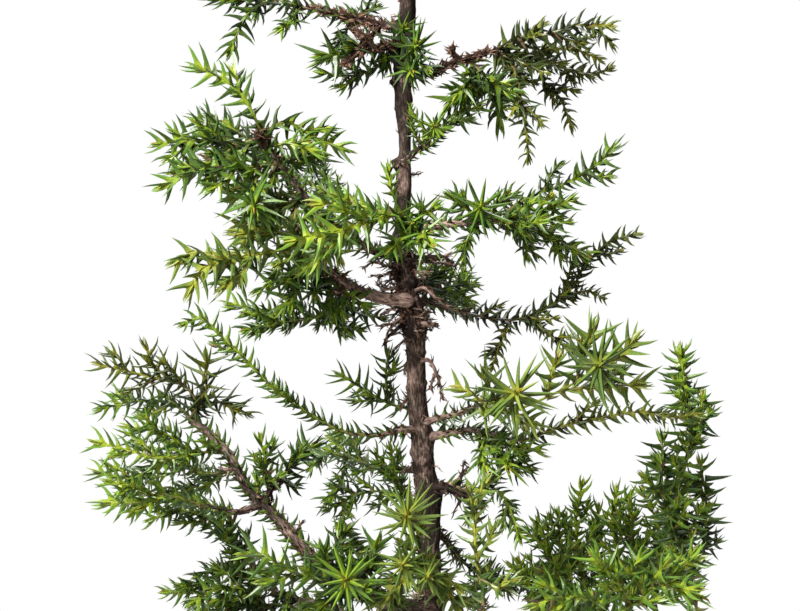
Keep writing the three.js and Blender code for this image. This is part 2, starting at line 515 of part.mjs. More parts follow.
// Side shoots leave their parent in turn round it, shorter towards its tip, and bend forward.
function sideStems(stem, seed) {
  const length = stem.curve.getLength();
  const full = THREE.MathUtils.clamp(length * SIDE_SHARE, SIDE_LENGTH_MIN, SIDE_LENGTH_MAX);
  const count = Math.ceil(stem.sides / SIDE_FEWER);
  return Array.from({ length: count }, (_, index) => {
    const share = THREE.MathUtils.lerp(SIDE_FROM, SIDE_TO, (index + 0.5) / count);
    const start = stem.curve.getPointAt(share);
    const along = stem.curve.getTangentAt(share);
    const out = sideways(along, seed + SIDE_TURN * index);
    const half = (full * THREE.MathUtils.lerp(SIDE_FIRST, SIDE_LAST, share)) / 2;
    const leaning = (from, lean) => from.clone()
      .addScaledVector(out, half * Math.sin(lean))
      .addScaledVector(along, half * Math.cos(lean));
    const middle = leaning(start, SIDE_LEAN);
    const tip = leaning(middle, SIDE_LEAN * SIDE_STRAIGHTEN);
    return { curve: curveThrough([start, middle, tip]), needle: stem.needle * SIDE_NEEDLE, sides: 0 };
  });
}

function stemRadius(share) {
  return THREE.MathUtils.lerp(STEM_RADIUS, STEM_TIP_RADIUS, share);
}

// Distances along a stem where its rings of corners stand, the last one close to the tip.
function ringPlaces(length, start) {
  const rest = length - BUD_STEP - start;
  const count = Math.max(1, Math.round(rest / WHORL_STEP));
  const places = Array.from({ length: count + 1 }, (_, ring) => start + (rest * ring) / count);
  return places.concat(length);
}

// The first stretch of a stem as a small solid, to measure its gap to the wood.
function stemStart(curve, along) {
  const length = curve.getLength();
  const rings = [along, along + START_STRETCH].map((place) => {
    const share = Math.min(place / length, 1);
    const tangent = curve.getTangentAt(share);
    return [0, 1, 2].map((corner) => curve.getPointAt(share)
      .addScaledVector(sideways(tangent, (-corner * 2 * Math.PI) / 3), STEM_RADIUS));
  });
  return skinOver(rings);
}

// How far along its curve a stem is out of the wood, with a clear gap between them.
function clearStart(curve, woodRods, wood) {
  const length = curve.getLength();
  const near = woodRods.filter((rod) => gapToRod(curve.getPointAt(0), rod) < START_REACH);
  for (let along = 0; along < length; along += START_STEP) {
    const centre = curve.getPointAt(along / length);
    const outside = near.every(({ line, radii }) => {
      const share = line.closestPointToPointParameter(centre, true);
      const heart = WOOD_HEART * THREE.MathUtils.lerp(radii[0], radii[1], share);
      return line.at(share, new THREE.Vector3()).distanceTo(centre) > heart;
    });
    if (outside && stemStart(curve, along).minGap(wood, START_REACH) >= CLEARANCE) return along;
  }
  return 0;
}

function levelled(vector, axis) {
  return vector.clone().addScaledVector(axis, -vector.dot(axis)).normalize();
}

// Grows a stem's skin, a tube of three corners that turns from ring to ring. It starts as a flat
// end, or on a socket of an earlier stem. Every other triangle of the tube is a new socket, which
// a needle or a side shoot grows from, so its base runs down the stem as the real one does.
function growStem(skin, stem, start, socket) {
  const { curve, owner } = stem;
  const length = curve.getLength();
  const places = ringPlaces(length, start);
  let spoke = sideways(curve.getTangentAt(0), 0);
  const rings = [];
  if (socket) {
    const [a, b] = socket.base.map((corner) => skin.points[corner]);
    spoke = a.clone().add(b).divideScalar(2).sub(socket.root);
    rings.push(socket.base);
    places.shift();
  }
  const shares = places.map((place) => Math.min(place / length, 1));
  shares.forEach((share, ring) => {
    const centre = curve.getPointAt(share);
    const tangent = curve.getTangentAt(share);
    spoke = levelled(spoke, tangent);
    const across = new THREE.Vector3().crossVectors(tangent, spoke);
    rings.push([0, 1, 2].map((corner) => {
      const angle = ring * WHORL_TURN + (corner * 2 * Math.PI) / 3;
      return skin.points.push(centre.clone()
        .addScaledVector(spoke, stemRadius(share) * Math.cos(angle))
        .addScaledVector(across, stemRadius(share) * Math.sin(angle))) - 1;
    }));
  });
  if (!socket) skin.triangles.push([...rings[0]].reverse());
  rings.slice(1).forEach((upper, ring) => {
    const lower = rings[ring];
    const bare = socket && ring === 0;
    const reached = socket ? shares[ring] : shares[ring + 1];
    for (let corner = 0; corner < 3; corner += 1) {
      const next = (corner + 1) % 3;
      skin.triangles.push([lower[next], upper[next], upper[corner]]);
      const base = [lower[corner], lower[next], upper[corner]];
      if (bare) skin.triangles.push(base);
      else skin.sockets.push(socketOn(skin, base, stem, reached, length, owner));
    }
  });
  const last = rings[rings.length - 1];
  skin.sockets.push({
    base: last,
    root: curve.getPointAt(1),
    direction: curve.getTangentAt(1),
    reach: stem.needle * NEEDLE_END,
    owner,
  });
}

// A socket's needle leans forward along its stem, more so towards the bud at the tip.
function socketOn(skin, base, stem, share, length, owner) {
  const root = new THREE.Vector3();
  base.forEach((corner) => root.addScaledVector(skin.points[corner], 1 / 3));
  const tangent = stem.curve.getTangentAt(share);
  const below = stem.curve.getPointAt(Math.max(share - AXIS_SHARE, 0));
  const axis = new THREE.Line3(below, stem.curve.getPointAt(share));
  const foot = axis.closestPointToPoint(root, false, new THREE.Vector3());
  const budward = THREE.MathUtils.smoothstep(share * length, length - BUD_REACH, length);
  const lean = THREE.MathUtils.lerp(NEEDLE_LEAN, NEEDLE_TIP_LEAN, budward);
  const direction = levelled(root.clone().sub(foot), tangent)
    .multiplyScalar(Math.sin(lean)).addScaledVector(tangent, Math.cos(lean));
  const reach = stem.needle * THREE.MathUtils.lerp(NEEDLE_LOW, NEEDLE_HIGH, share)
    * THREE.MathUtils.lerp(1, NEEDLE_BUD, budward);
  return { base, root, direction, reach, owner };
}

// The sockets that point most nearly where a stem goes and are close to its start, best first.
function socketsFor(skin, curve) {
  const from = curve.getPointAt(0);
  const heading = curve.getPointAt(Math.min(1, HEADING_REACH / curve.getLength())).sub(from).normalize();
  const misfit = (socket) => socket.root.distanceTo(from) / WHORL_STEP
    - HEADING_WEIGHT * socket.direction.dot(heading);
  return [...skin.sockets].sort((one, other) => misfit(one) - misfit(other)).slice(0, SOCKETS_TRIED);
}

// Tells whether the stretch between two points passes through a triangle.
function pierces(from, to, [a, b, c]) {
  const along = to.clone().sub(from);
  const ray = new THREE.Ray(from, along.clone().normalize());
  const meeting = ray.intersectTriangle(a, b, c, false, new THREE.Vector3());
  return meeting !== null && meeting.distanceTo(from) < along.length();
}

// Tells whether two faces, given as corner numbers, pass through each other.
function facesCross(points, one, other) {
  const shared = one.filter((corner) => other.includes(corner));
  if (shared.length > 1) return false;
  const crossedBy = (edges, face) => edges.some((from, side) => {
    const to = edges[(side + 1) % 3];
    if (shared.includes(from) || shared.includes(to)) return false;
    return pierces(points[from], points[to], face.map((corner) => points[corner]));
  });
  return crossedBy(one, other) || crossedBy(other, one);
}

function anyCross(points, faces, others) {
  const boxed = (face) => ({
    face,
    box: new THREE.Box3().setFromPoints(face.map((corner) => points[corner])),
  });
  const standing = others.map(boxed);
  return faces.map(boxed).some((one) => standing.some((other) => other.face !== one.face
    && one.box.intersectsBox(other.box) && facesCross(points, one.face, other.face)));
}

// The faces of a skin from a given triangle on, and its open sockets from a given one on.
function facesFrom(skin, triangle, socket) {
  return skin.triangles.slice(triangle).concat(skin.sockets.slice(socket).map(({ base }) => base));
}

// Grows a stem on the first socket where it passes through nothing, and tells if there is one.
function growOnSocket(skin, stem, sockets) {
  const [points, triangles] = [skin.points.length, skin.triangles.length];
  const [open, route] = [skin.sockets, stem.curve.points.slice(1)];
  for (const socket of sockets) {
    skin.sockets = open.filter((other) => other !== socket);
    stem.curve = curveThrough([socket.root, ...route]);
    growStem(skin, stem, 0, socket);
    const grown = facesFrom(skin, triangles, open.length - 1);
    if (!anyCross(skin.points, grown, facesFrom(skin, 0, 0))) return true;
    skin.points.length = points;
    skin.triangles.length = triangles;
  }
  skin.sockets = open;
  return false;
}

// Tells whether a side shoot keeps off the other stems of its spray once it has left its parent.
function runsClear(curve, rods) {
  return SIDE_PROBES.every((share) => {
    const point = curve.getPointAt(share);
    return rods.every((rod) => gapToRod(point, rod) > STEM_RADIUS + CLEARANCE);
  });
}

// Grows a spray's stems: each listed stem on the wood or an earlier stem, then the side shoots
// that don't run into another stem.
function growSpray(name, listed, woodRods, wood, seed) {
  const skin = { points: [], triangles: [], sockets: [], rods: [] };
  const sideShoots = [];
  const keep = (stem) => skin.rods.push(...rodsAlong(stem.curve, stemRadius, stem.owner));
  listed.forEach(([needle, sides, ...route], index) => {
    const points = route.map(sighted);
    points[0] = nearestOn(index === 0 ? woodRods : skin.rods, points[0]);
    const stem = { curve: curveThrough(points), needle, sides, owner: `${name}/${index}` };
    if (index === 0) {
      growStem(skin, stem, clearStart(stem.curve, woodRods, wood));
    } else if (!growOnSocket(skin, stem, socketsFor(skin, stem.curve))) {
      throw new Error(`${stem.owner} crosses its own spray`);
    }
    keep(stem);
    sideShoots.push(...sideStems(stem, seed + index));
  });
  sideShoots.filter(({ curve }) => runsClear(curve, skin.rods)).forEach((stem, index) => {
    stem.owner = `${name}/side${index}`;
    if (growOnSocket(skin, stem, socketsFor(skin, stem.curve))) keep(stem);
  });
  return { name, skin };
}

function needleFaces([a, b, c], top) {
  return [[a, b, top], [b, c, top], [c, a, top]];
}

// Tells whether a needle with a given reach keeps clear of all stems and needles but its own stem.
function keepsClear(needle, reach, near) {
  const family = needle.owner.split('/')[0];
  return NEEDLE_PROBES.every((along) => {
    const point = needle.root.clone().addScaledVector(needle.direction, reach * along);
    const thickness = NEEDLE_BASE_RADIUS * (1 - along) + NEEDLE_TIP_RADIUS;
    return near.every((rod) => {
      if (rod.owner === needle.owner) return true;
      const margin = rod.owner.startsWith(`${family}/`) ? 0 : CLEARANCE;
      return gapToRod(point, rod) > thickness + margin;
    });
  });
}

// Grows a needle on its socket, shortened until it is clear. One with no room leaves it bare.
function growNeedle(skin, needle, rods) {
  const around = needle.reach + CLEARANCE + NEEDLE_BASE_RADIUS;
  const near = rods.filter((rod) => gapToRod(needle.root, rod) < around);
  const standing = facesFrom(skin, 0, 0).filter((face) => face !== needle.base);
  for (const share of NEEDLE_SHARES) {
    const reach = needle.reach * share;
    const tip = needle.root.clone().addScaledVector(needle.direction, reach);
    const top = skin.points.push(tip) - 1;
    const faces = needleFaces(needle.base, top);
    if (keepsClear(needle, reach, near) && !anyCross(skin.points, faces, standing)) {
      skin.triangles.push(...faces);
      rods.push({
        line: new THREE.Line3(needle.root, tip),
        radii: [NEEDLE_BASE_RADIUS, NEEDLE_TIP_RADIUS],
        owner: needle.owner,
      });
      return;
    }
    skin.points.pop();
  }
  skin.triangles.push(needle.base);
}

// All the sprays: first every stem, then every needle, clear of all that stands already.
function sprayGeometries(woodRods, wood) {
  const sprays = Object.entries(SPRAYS)
    .map(([name, listed], index) => growSpray(name, listed, woodRods, wood, index * SPRAY_TURN));
  const rods = woodRods.concat(sprays.flatMap(({ skin }) => skin.rods));
  return sprays.map(({ name, skin }) => {
    skin.sockets.forEach((needle) => growNeedle(skin, needle, rods));
    const geometry = new THREE.BufferGeometry().setFromPoints(skin.points);
    geometry.setIndex(skin.triangles.flat());
    return { name, geometry };
  });
}

// A level outline of the pot: a rectangle with round corners, at one height.
function potOutline(length, depth, corner, height, steps = POT_CORNER_STEPS) {
  const shape = new THREE.Shape();
  const [x, y] = [length / 2, depth / 2];
  shape.moveTo(x - corner, -y);
  shape.absarc(x - corner, -y + corner, corner, -Math.PI / 2, 0, false);
  shape.absarc(x - corner, y - corner, corner, 0, Math.PI / 2, false);
  shape.absarc(-x + corner, y - corner, corner, Math.PI / 2, Math.PI, false);
  shape.absarc(-x + corner, -y + corner, corner, Math.PI, 1.5 * Math.PI, false);
  const outline = [];
  for (const point of shape.getPoints(steps)) {
    const repeated = outline.some((kept) => Math.hypot(kept.x - point.x, kept.y - point.y) < 1e-6);
    if (!repeated) outline.push(new THREE.Vector3(point.x, point.y, height));
  }
  return outline;
}

// The outline of the pot's outer wall at a height, drawn in evenly by an inset.
function wallOutline(height, inset) {
  const lean = POT_TAPER * (1 - (height - FOOT_HEIGHT) / (POT_HEIGHT - FOOT_HEIGHT));
  const draw = lean + inset;
  const corner = Math.max(POT_CORNER - draw, POT_CORNER_MIN);
  return potOutline(POT_LENGTH - 2 * draw, POT_DEPTH - 2 * draw, corner, height);
}

// A round, upright plug, to cut a drain hole with.
function drainPlug(x) {
  const ring = (height) => Array.from({ length: DRAIN_SIDES }, (_, side) => {
    const angle = (side / DRAIN_SIDES) * 2 * Math.PI;
    return new THREE.Vector3(x + DRAIN_RADIUS * Math.cos(angle), DRAIN_RADIUS * Math.sin(angle), height);
  });
  return skinOver([ring(0), ring(FOOT_HEIGHT + 2 * POT_FLOOR)]);
}

// A foot of the pot, narrower at its sole, whose top runs into the pot's underside.
function footSolid(x, y) {
  const sole = potOutline(FOOT_LENGTH - FOOT_TAPER, FOOT_DEPTH - FOOT_TAPER, POT_CORNER_MIN, 0, 1);
  const top = potOutline(FOOT_LENGTH, FOOT_DEPTH, FOOT_CORNER, FOOT_HEIGHT + POT_FLOOR / 2, 1);
  const shift = new THREE.Vector3(x, y, 0);
  return skinOver([sole, top].map((ring) => ring.map((point) => point.add(shift))));
}

function potSolid() {
  const rimFoot = POT_HEIGHT - RIM_HEIGHT;
  const floor = FOOT_HEIGHT + POT_FLOOR;
  const mouth = POT_WALL + RIM_OVERHANG;
  const body = skinOver([
    wallOutline(FOOT_HEIGHT, 0),
    wallOutline((FOOT_HEIGHT + rimFoot) / 2, -POT_BELLY),
    wallOutline(rimFoot, RIM_OVERHANG),
    wallOutline(rimFoot + RIM_COVE, 0),
    wallOutline(POT_HEIGHT - RIM_ROUND, 0),
    wallOutline(POT_HEIGHT, RIM_ROUND),
  ]);
  const inside = skinOver([
    wallOutline(floor, POT_WALL + FLOOR_INSET),
    wallOutline(floor + FLOOR_ROUND, POT_WALL),
    wallOutline(rimFoot, mouth),
    wallOutline(POT_HEIGHT - RIM_ROUND, mouth),
    wallOutline(POT_HEIGHT + MOUTH_FLARE, mouth - MOUTH_FLARE),
  ]);
  const footX = POT_LENGTH / 2 - POT_TAPER - FOOT_LENGTH / 2 - FOOT_END_GAP;
  const footY = POT_DEPTH / 2 - POT_TAPER - FOOT_DEPTH / 2 - FOOT_SIDE_GAP;
  const feet = [[footX, footY], [-footX, footY], [footX, -footY], [-footX, -footY]];
  const plugs = [-DRAIN_SPACING / 2, DRAIN_SPACING / 2].map(drainPlug);
  const shell = body.subtract(inside);
  const standing = feet.reduce((pot, [x, y]) => pot.add(footSolid(x, y)), shell);
  return plugs.reduce((pot, plug) => pot.subtract(plug), standing);
}

// The grit fills the pot, mounds towards the trunk and has a plain hole for the wood.
function soilSolid(parts) {
  const floor = FOOT_HEIGHT + POT_FLOOR + CLEARANCE;
  const edge = POT_WALL + RIM_OVERHANG + CLEARANCE;
  const top = POT_HEIGHT - SOIL_BELOW_RIM;
  const soil = skinOver([
    wallOutline(floor, POT_WALL + FLOOR_INSET + CLEARANCE),
    wallOutline(floor + FLOOR_ROUND, POT_WALL + CLEARANCE),
    wallOutline(POT_HEIGHT - RIM_HEIGHT, edge + SOIL_SLACK),
    wallOutline(top, edge + SOIL_SLACK),
    ...MOUND_STEPS.map(([share, inset]) => wallOutline(top + share * SOIL_MOUND, edge + inset)),
  ]);
  const rootCount = Object.keys(LIMBS).filter((name) => name.startsWith('root')).length;
  const buried = parts.slice(0, 1 + rootCount);
  return largestBody(soil.subtract(woodSolid(buried, CLEARANCE)));
}

function named(name, geometry, material) {
  const mesh = new THREE.Mesh(geometry, material);
  mesh.name = name;
  return mesh;
}

const parts = woodParts();
const wood = woodSolid(parts);
const woodRods = parts.flatMap(({ curve, radiusAt }) => rodsAlong(curve, radiusAt, 'wood'));

const tree = new THREE.Group();
tree.add(named('pot', geometryFrom(potSolid()), CLAY));
tree.add(named('soil', geometryFrom(soilSolid(parts)), GRIT));
tree.add(named('wood', geometryFrom(wood), BARK));
for (const { name, geometry } of sprayGeometries(woodRods, wood)) {
  tree.add(named(`spray_${name}`, geometry, BRIGHT_SPRAYS.includes(name) ? BRIGHT : GREEN));
}

// The origin is under the middle of the whole object.
const centre = new THREE.Box3().setFromObject(tree).getCenter(new THREE.Vector3());
tree.position.set(-centre.x, -centre.y, 0);
tree.updateMatrixWorld(true);

export default tree;
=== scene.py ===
# %% [markdown]
# # A Japanese cedar bonsai in a clay pot
# The tree is a young Cryptomeria: one upright trunk with rough bark, thin limbs, and green shoots set
# all round with stiff, awl-shaped needles. The CAD solids give where everything stands and how big it
# is. Here each solid is dressed: every needle, crack of bark and grain of grit is made as a mesh.
# The work goes from the inside out: lines that shoots and limbs follow, skins round those lines, then
# the finishes, the pot, the light and the camera.

import bpy
import numpy as np
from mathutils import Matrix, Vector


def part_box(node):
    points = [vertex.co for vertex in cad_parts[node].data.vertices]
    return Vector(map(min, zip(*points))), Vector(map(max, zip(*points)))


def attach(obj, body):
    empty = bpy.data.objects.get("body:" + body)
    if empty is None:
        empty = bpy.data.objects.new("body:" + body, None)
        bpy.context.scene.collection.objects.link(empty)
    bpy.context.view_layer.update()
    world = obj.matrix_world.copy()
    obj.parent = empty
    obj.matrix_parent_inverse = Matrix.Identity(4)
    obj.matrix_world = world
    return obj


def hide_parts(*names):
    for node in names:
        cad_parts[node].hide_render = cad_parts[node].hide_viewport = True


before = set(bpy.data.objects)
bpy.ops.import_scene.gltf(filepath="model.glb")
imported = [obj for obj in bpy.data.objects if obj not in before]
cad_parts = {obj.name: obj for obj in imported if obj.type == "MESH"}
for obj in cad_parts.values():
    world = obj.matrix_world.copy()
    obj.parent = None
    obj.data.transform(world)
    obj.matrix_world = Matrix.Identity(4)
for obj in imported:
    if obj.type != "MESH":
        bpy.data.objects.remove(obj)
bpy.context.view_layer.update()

# %% [markdown]
# ## Where things stand
# The routes below were chosen in a front view of the tree, as steps across and down that view and a
# depth in millimetres. One rule turns them into points of the tree: a step is 0.45 mm at the trunk,
# and a little more further back, because the eye is 800 mm away. Everything is worked out in
# millimetres from the middle of the pot's foot, and only the finished mesh is turned into metres.

# %% From the view to the tree
MM = 0.001
VIEW_SCALE = 0.45  # mm of tree for one step of the view
VIEW_AXIS = 400  # step across that stands over the middle of the pot
VIEW_EYE_LINE = 305.5  # step down that is level with the eye
EYE_HEIGHT = 247  # mm from the table to the eye line
EYE_DISTANCE = 800  # mm from the eye to the trunk

pot_low, pot_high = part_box("pot")
POT_MIDDLE = np.array([(pot_low.x + pot_high.x) / 2, (pot_low.y + pot_high.y) / 2, 0.0])


def route_places(text):
    """The rows of numbers of a route's text: across, down and depth of each place, with a comma between
    places."""
    return np.array([place.split() for place in text.split(",")], float)


def sighted(route):
    """Places in the view as points in mm: (across - axis) * spread, depth, eye height + (eye line -
    down) * spread, where spread is the view's scale * (1 + depth / eye distance)."""
    across, down, depth = np.array(route, float).T
    spread = VIEW_SCALE * (1 + depth / EYE_DISTANCE)
    level = EYE_HEIGHT + (VIEW_EYE_LINE - down) * spread
    return np.stack([(across - VIEW_AXIS) * spread, depth, level], axis=-1)


print("middle of the pot in metres:", np.round(POT_MIDDLE, 4).tolist())

# %% [markdown]
# ## The routes
# The trunk's places each carry a radius. A limb gives its first and last radius, then its route as a
# text: across, down and depth of each place. A spray is a list of stems, each with its needle length,
# its number of side shoots and its route. They are the same routes that the CAD solids follow, so the
# dressed tree and the solids agree.

# %% The trunk's route
TRUNK = [
  [437, 760, 0, 8.8], [437, 728, 0, 8.4], [436, 700, 0, 7], [434, 665, 0, 6.2],
  [432, 611, 0, 5.4], [430, 550, 0, 4.6], [428, 500, 0, 5.7], [424, 470, 0, 5],
  [422, 440, 0, 5.4], [417, 400, 0, 4.7], [416, 360, 0, 5], [415, 328, 0, 5.8],
  [408, 298, 0, 5.2], [403, 250, 0, 4.2], [403, 195, 0, 3.8], [405, 150, 0, 3.2],
  [403, 100, 0, 3.9], [403, 60, 0, 4], [407, 20, 0, 4], [408, -15, 1, 3.4],
  [406, -60, 2, 2.8], [409, -105, 1, 2.2], [406, -150, 0, 1.6], [408, -185, 0, 1.1],
]
print("places along the trunk:", len(TRUNK))

# %% The routes of roots, limbs and dead twigs
LIMBS = {
  "root_left": [4.6, 1.8, "437 716 0, 410 727 -4, 382 738 -8, 350 760 -12"],
  "root_front_left": [4.2, 1.7, "437 716 0, 424 728 -14, 412 738 -28, 404 758 -42"],
  "root_front_right": [4.4, 1.7, "437 716 0, 456 727 -12, 474 739 -22, 496 760 -34"],
  "root_right": [4.2, 1.7, "437 716 0, 464 728 5, 492 742 10, 520 764 14"],
  "root_back": [4.4, 1.8, "437 716 0, 430 728 16, 424 739 30, 416 760 44"],
  "right_high": [1.9, 1.1, "403 74 0, 425 74 -3, 442 68 -5, 470 58 -8, 500 49 -10"],
  "right_high_spur": [0.7, 0.4, "458 62 -6, 455 54 -9, 450 47 -11"],
  "left_high": [1.7, 1, "406 28 0, 382 25 4, 350 17 6, 312 9 8"],
  "left_high_spur": [0.7, 0.4, "382 25 4, 372 36 1, 366 34 -3"],
  "right_upper": [1.2, 0.8, "405 160 0, 415 152 -4, 426 144 -7"],
  "left_front": [2, 1.1, "403 258 0, 372 250 -22, 332 224 -40, 298 188 -52, 262 138 -58"],
  "left_stub": [2.4, 1.4, "410 300 0, 398 299 -6, 384 298 -8, 362 292 -6, 345 284 -3, 328 271 1, 308 263 5"],
  "left_stub_twig": [0.8, 0.5, "408 303 -2, 394 308 -9, 380 315 -11"],
  "left_dead_fork": [0.7, 0.4, "362 292 -6, 348 296 -12, 334 290 -15"],
  "left_dead_hanging": [0.8, 0.4, "413 320 0, 398 322 -7, 388 332 -9, 386 342 -9"],
  "right_middle": [1.5, 1, "403 230 0, 440 225 -4, 480 222 -8, 502 221 -10"],
  "right_arch": [1.5, 1, "410 300 0, 434 304 6, 458 311 9"],
  "right_dead": [0.8, 0.4, "403 262 0, 430 262 -7, 455 265 -9"],
  "right_dead_fork": [0.6, 0.4, "430 262 -7, 444 256 -5, 452 252 -6"],
  "right_knob": [1.3, 0.9, "414 326 0, 428 325 -4, 438 325 -6"],
  "left_long": [1.5, 1, "420 430 0, 400 430 -6, 380 436 -8"],
  "right_low": [1.7, 1, "422 438 0, 446 434 -5, 470 430 -8, 500 436 -10"],
  "right_front": [1.4, 0.9, "420 424 0, 436 419 -8, 456 414 -16, 480 405 -32"],
  "right_hook": [0.9, 0.5, "415 365 0, 428 360 -6, 436 372 -7, 440 385 -7, 443 400 -6"],
  "right_hook_spur": [0.6, 0.4, "436 372 -7, 432 382 -9, 430 390 -9"],
  "right_knee": [1.3, 0.8, "428 486 0, 450 485 -7, 470 492 -10"],
  "right_knee_fork": [0.7, 0.4, "450 485 -7, 462 476 -9, 468 466 -10"],
  "left_main": [3.1, 1.2, "432 612 0, 400 606 -5, 362 593 -9, 325 570 -12, 300 545 -12, 276 517 -11, "
    "262 503 -11, 248 488 -12, 236 468 -14, 225 450 -14, 205 430 -12, 190 420 -10"],
  "left_main_west": [1.4, 0.8, "262 503 -11, 240 512 -15, 218 508 -18, 200 505 -20"],
  "left_back_low": [2.3, 1, "434 660 0, 385 636 18, 330 607 25, 300 600 28, 270 588 30, 250 560 30"],
  "right_back_low": [2.4, 1.4, "433 650 0, 480 642 12, 540 628 30"],
  "right_front_low": [2.1, 1.1, "434 672 0, 482 668 -26, 540 652 -46, 600 626 -55"],
  "right_edge": [2.2, 1.1, "433 640 0, 500 655 -2, 580 652 -4, 650 642 -8, 692 626 -8"],
  "front_low": [1.4, 1, "432 600 0, 424 566 -26"],
  "front_right": [1.5, 0.9, "433 655 0, 452 640 -34, 474 625 -66, 484 604 -80"],
  "front_rise": [1.3, 0.9, "403 248 0, 409 238 -20, 411 224 -42"],
  "back_upper": [1.5, 0.9, "404 214 0, 385 214 20, 362 210 38"],
  "back_middle": [1.7, 1, "410 302 0, 425 302 22, 438 298 42"],
  "back_low_left": [1.8, 1, "424 470 0, 402 470 24, 380 470 44"],
  "back_low_right": [1.8, 1, "428 522 0, 446 541 24, 462 562 44"],
  "back_bottom": [1.8, 1, "434 690 0, 422 672 28, 408 650 50"],
  "left_low": [2, 1, "435 690 0, 380 680 -12, 330 668 -20, 280 655 -24"],
}
print("roots, limbs and twigs:", len(LIMBS))

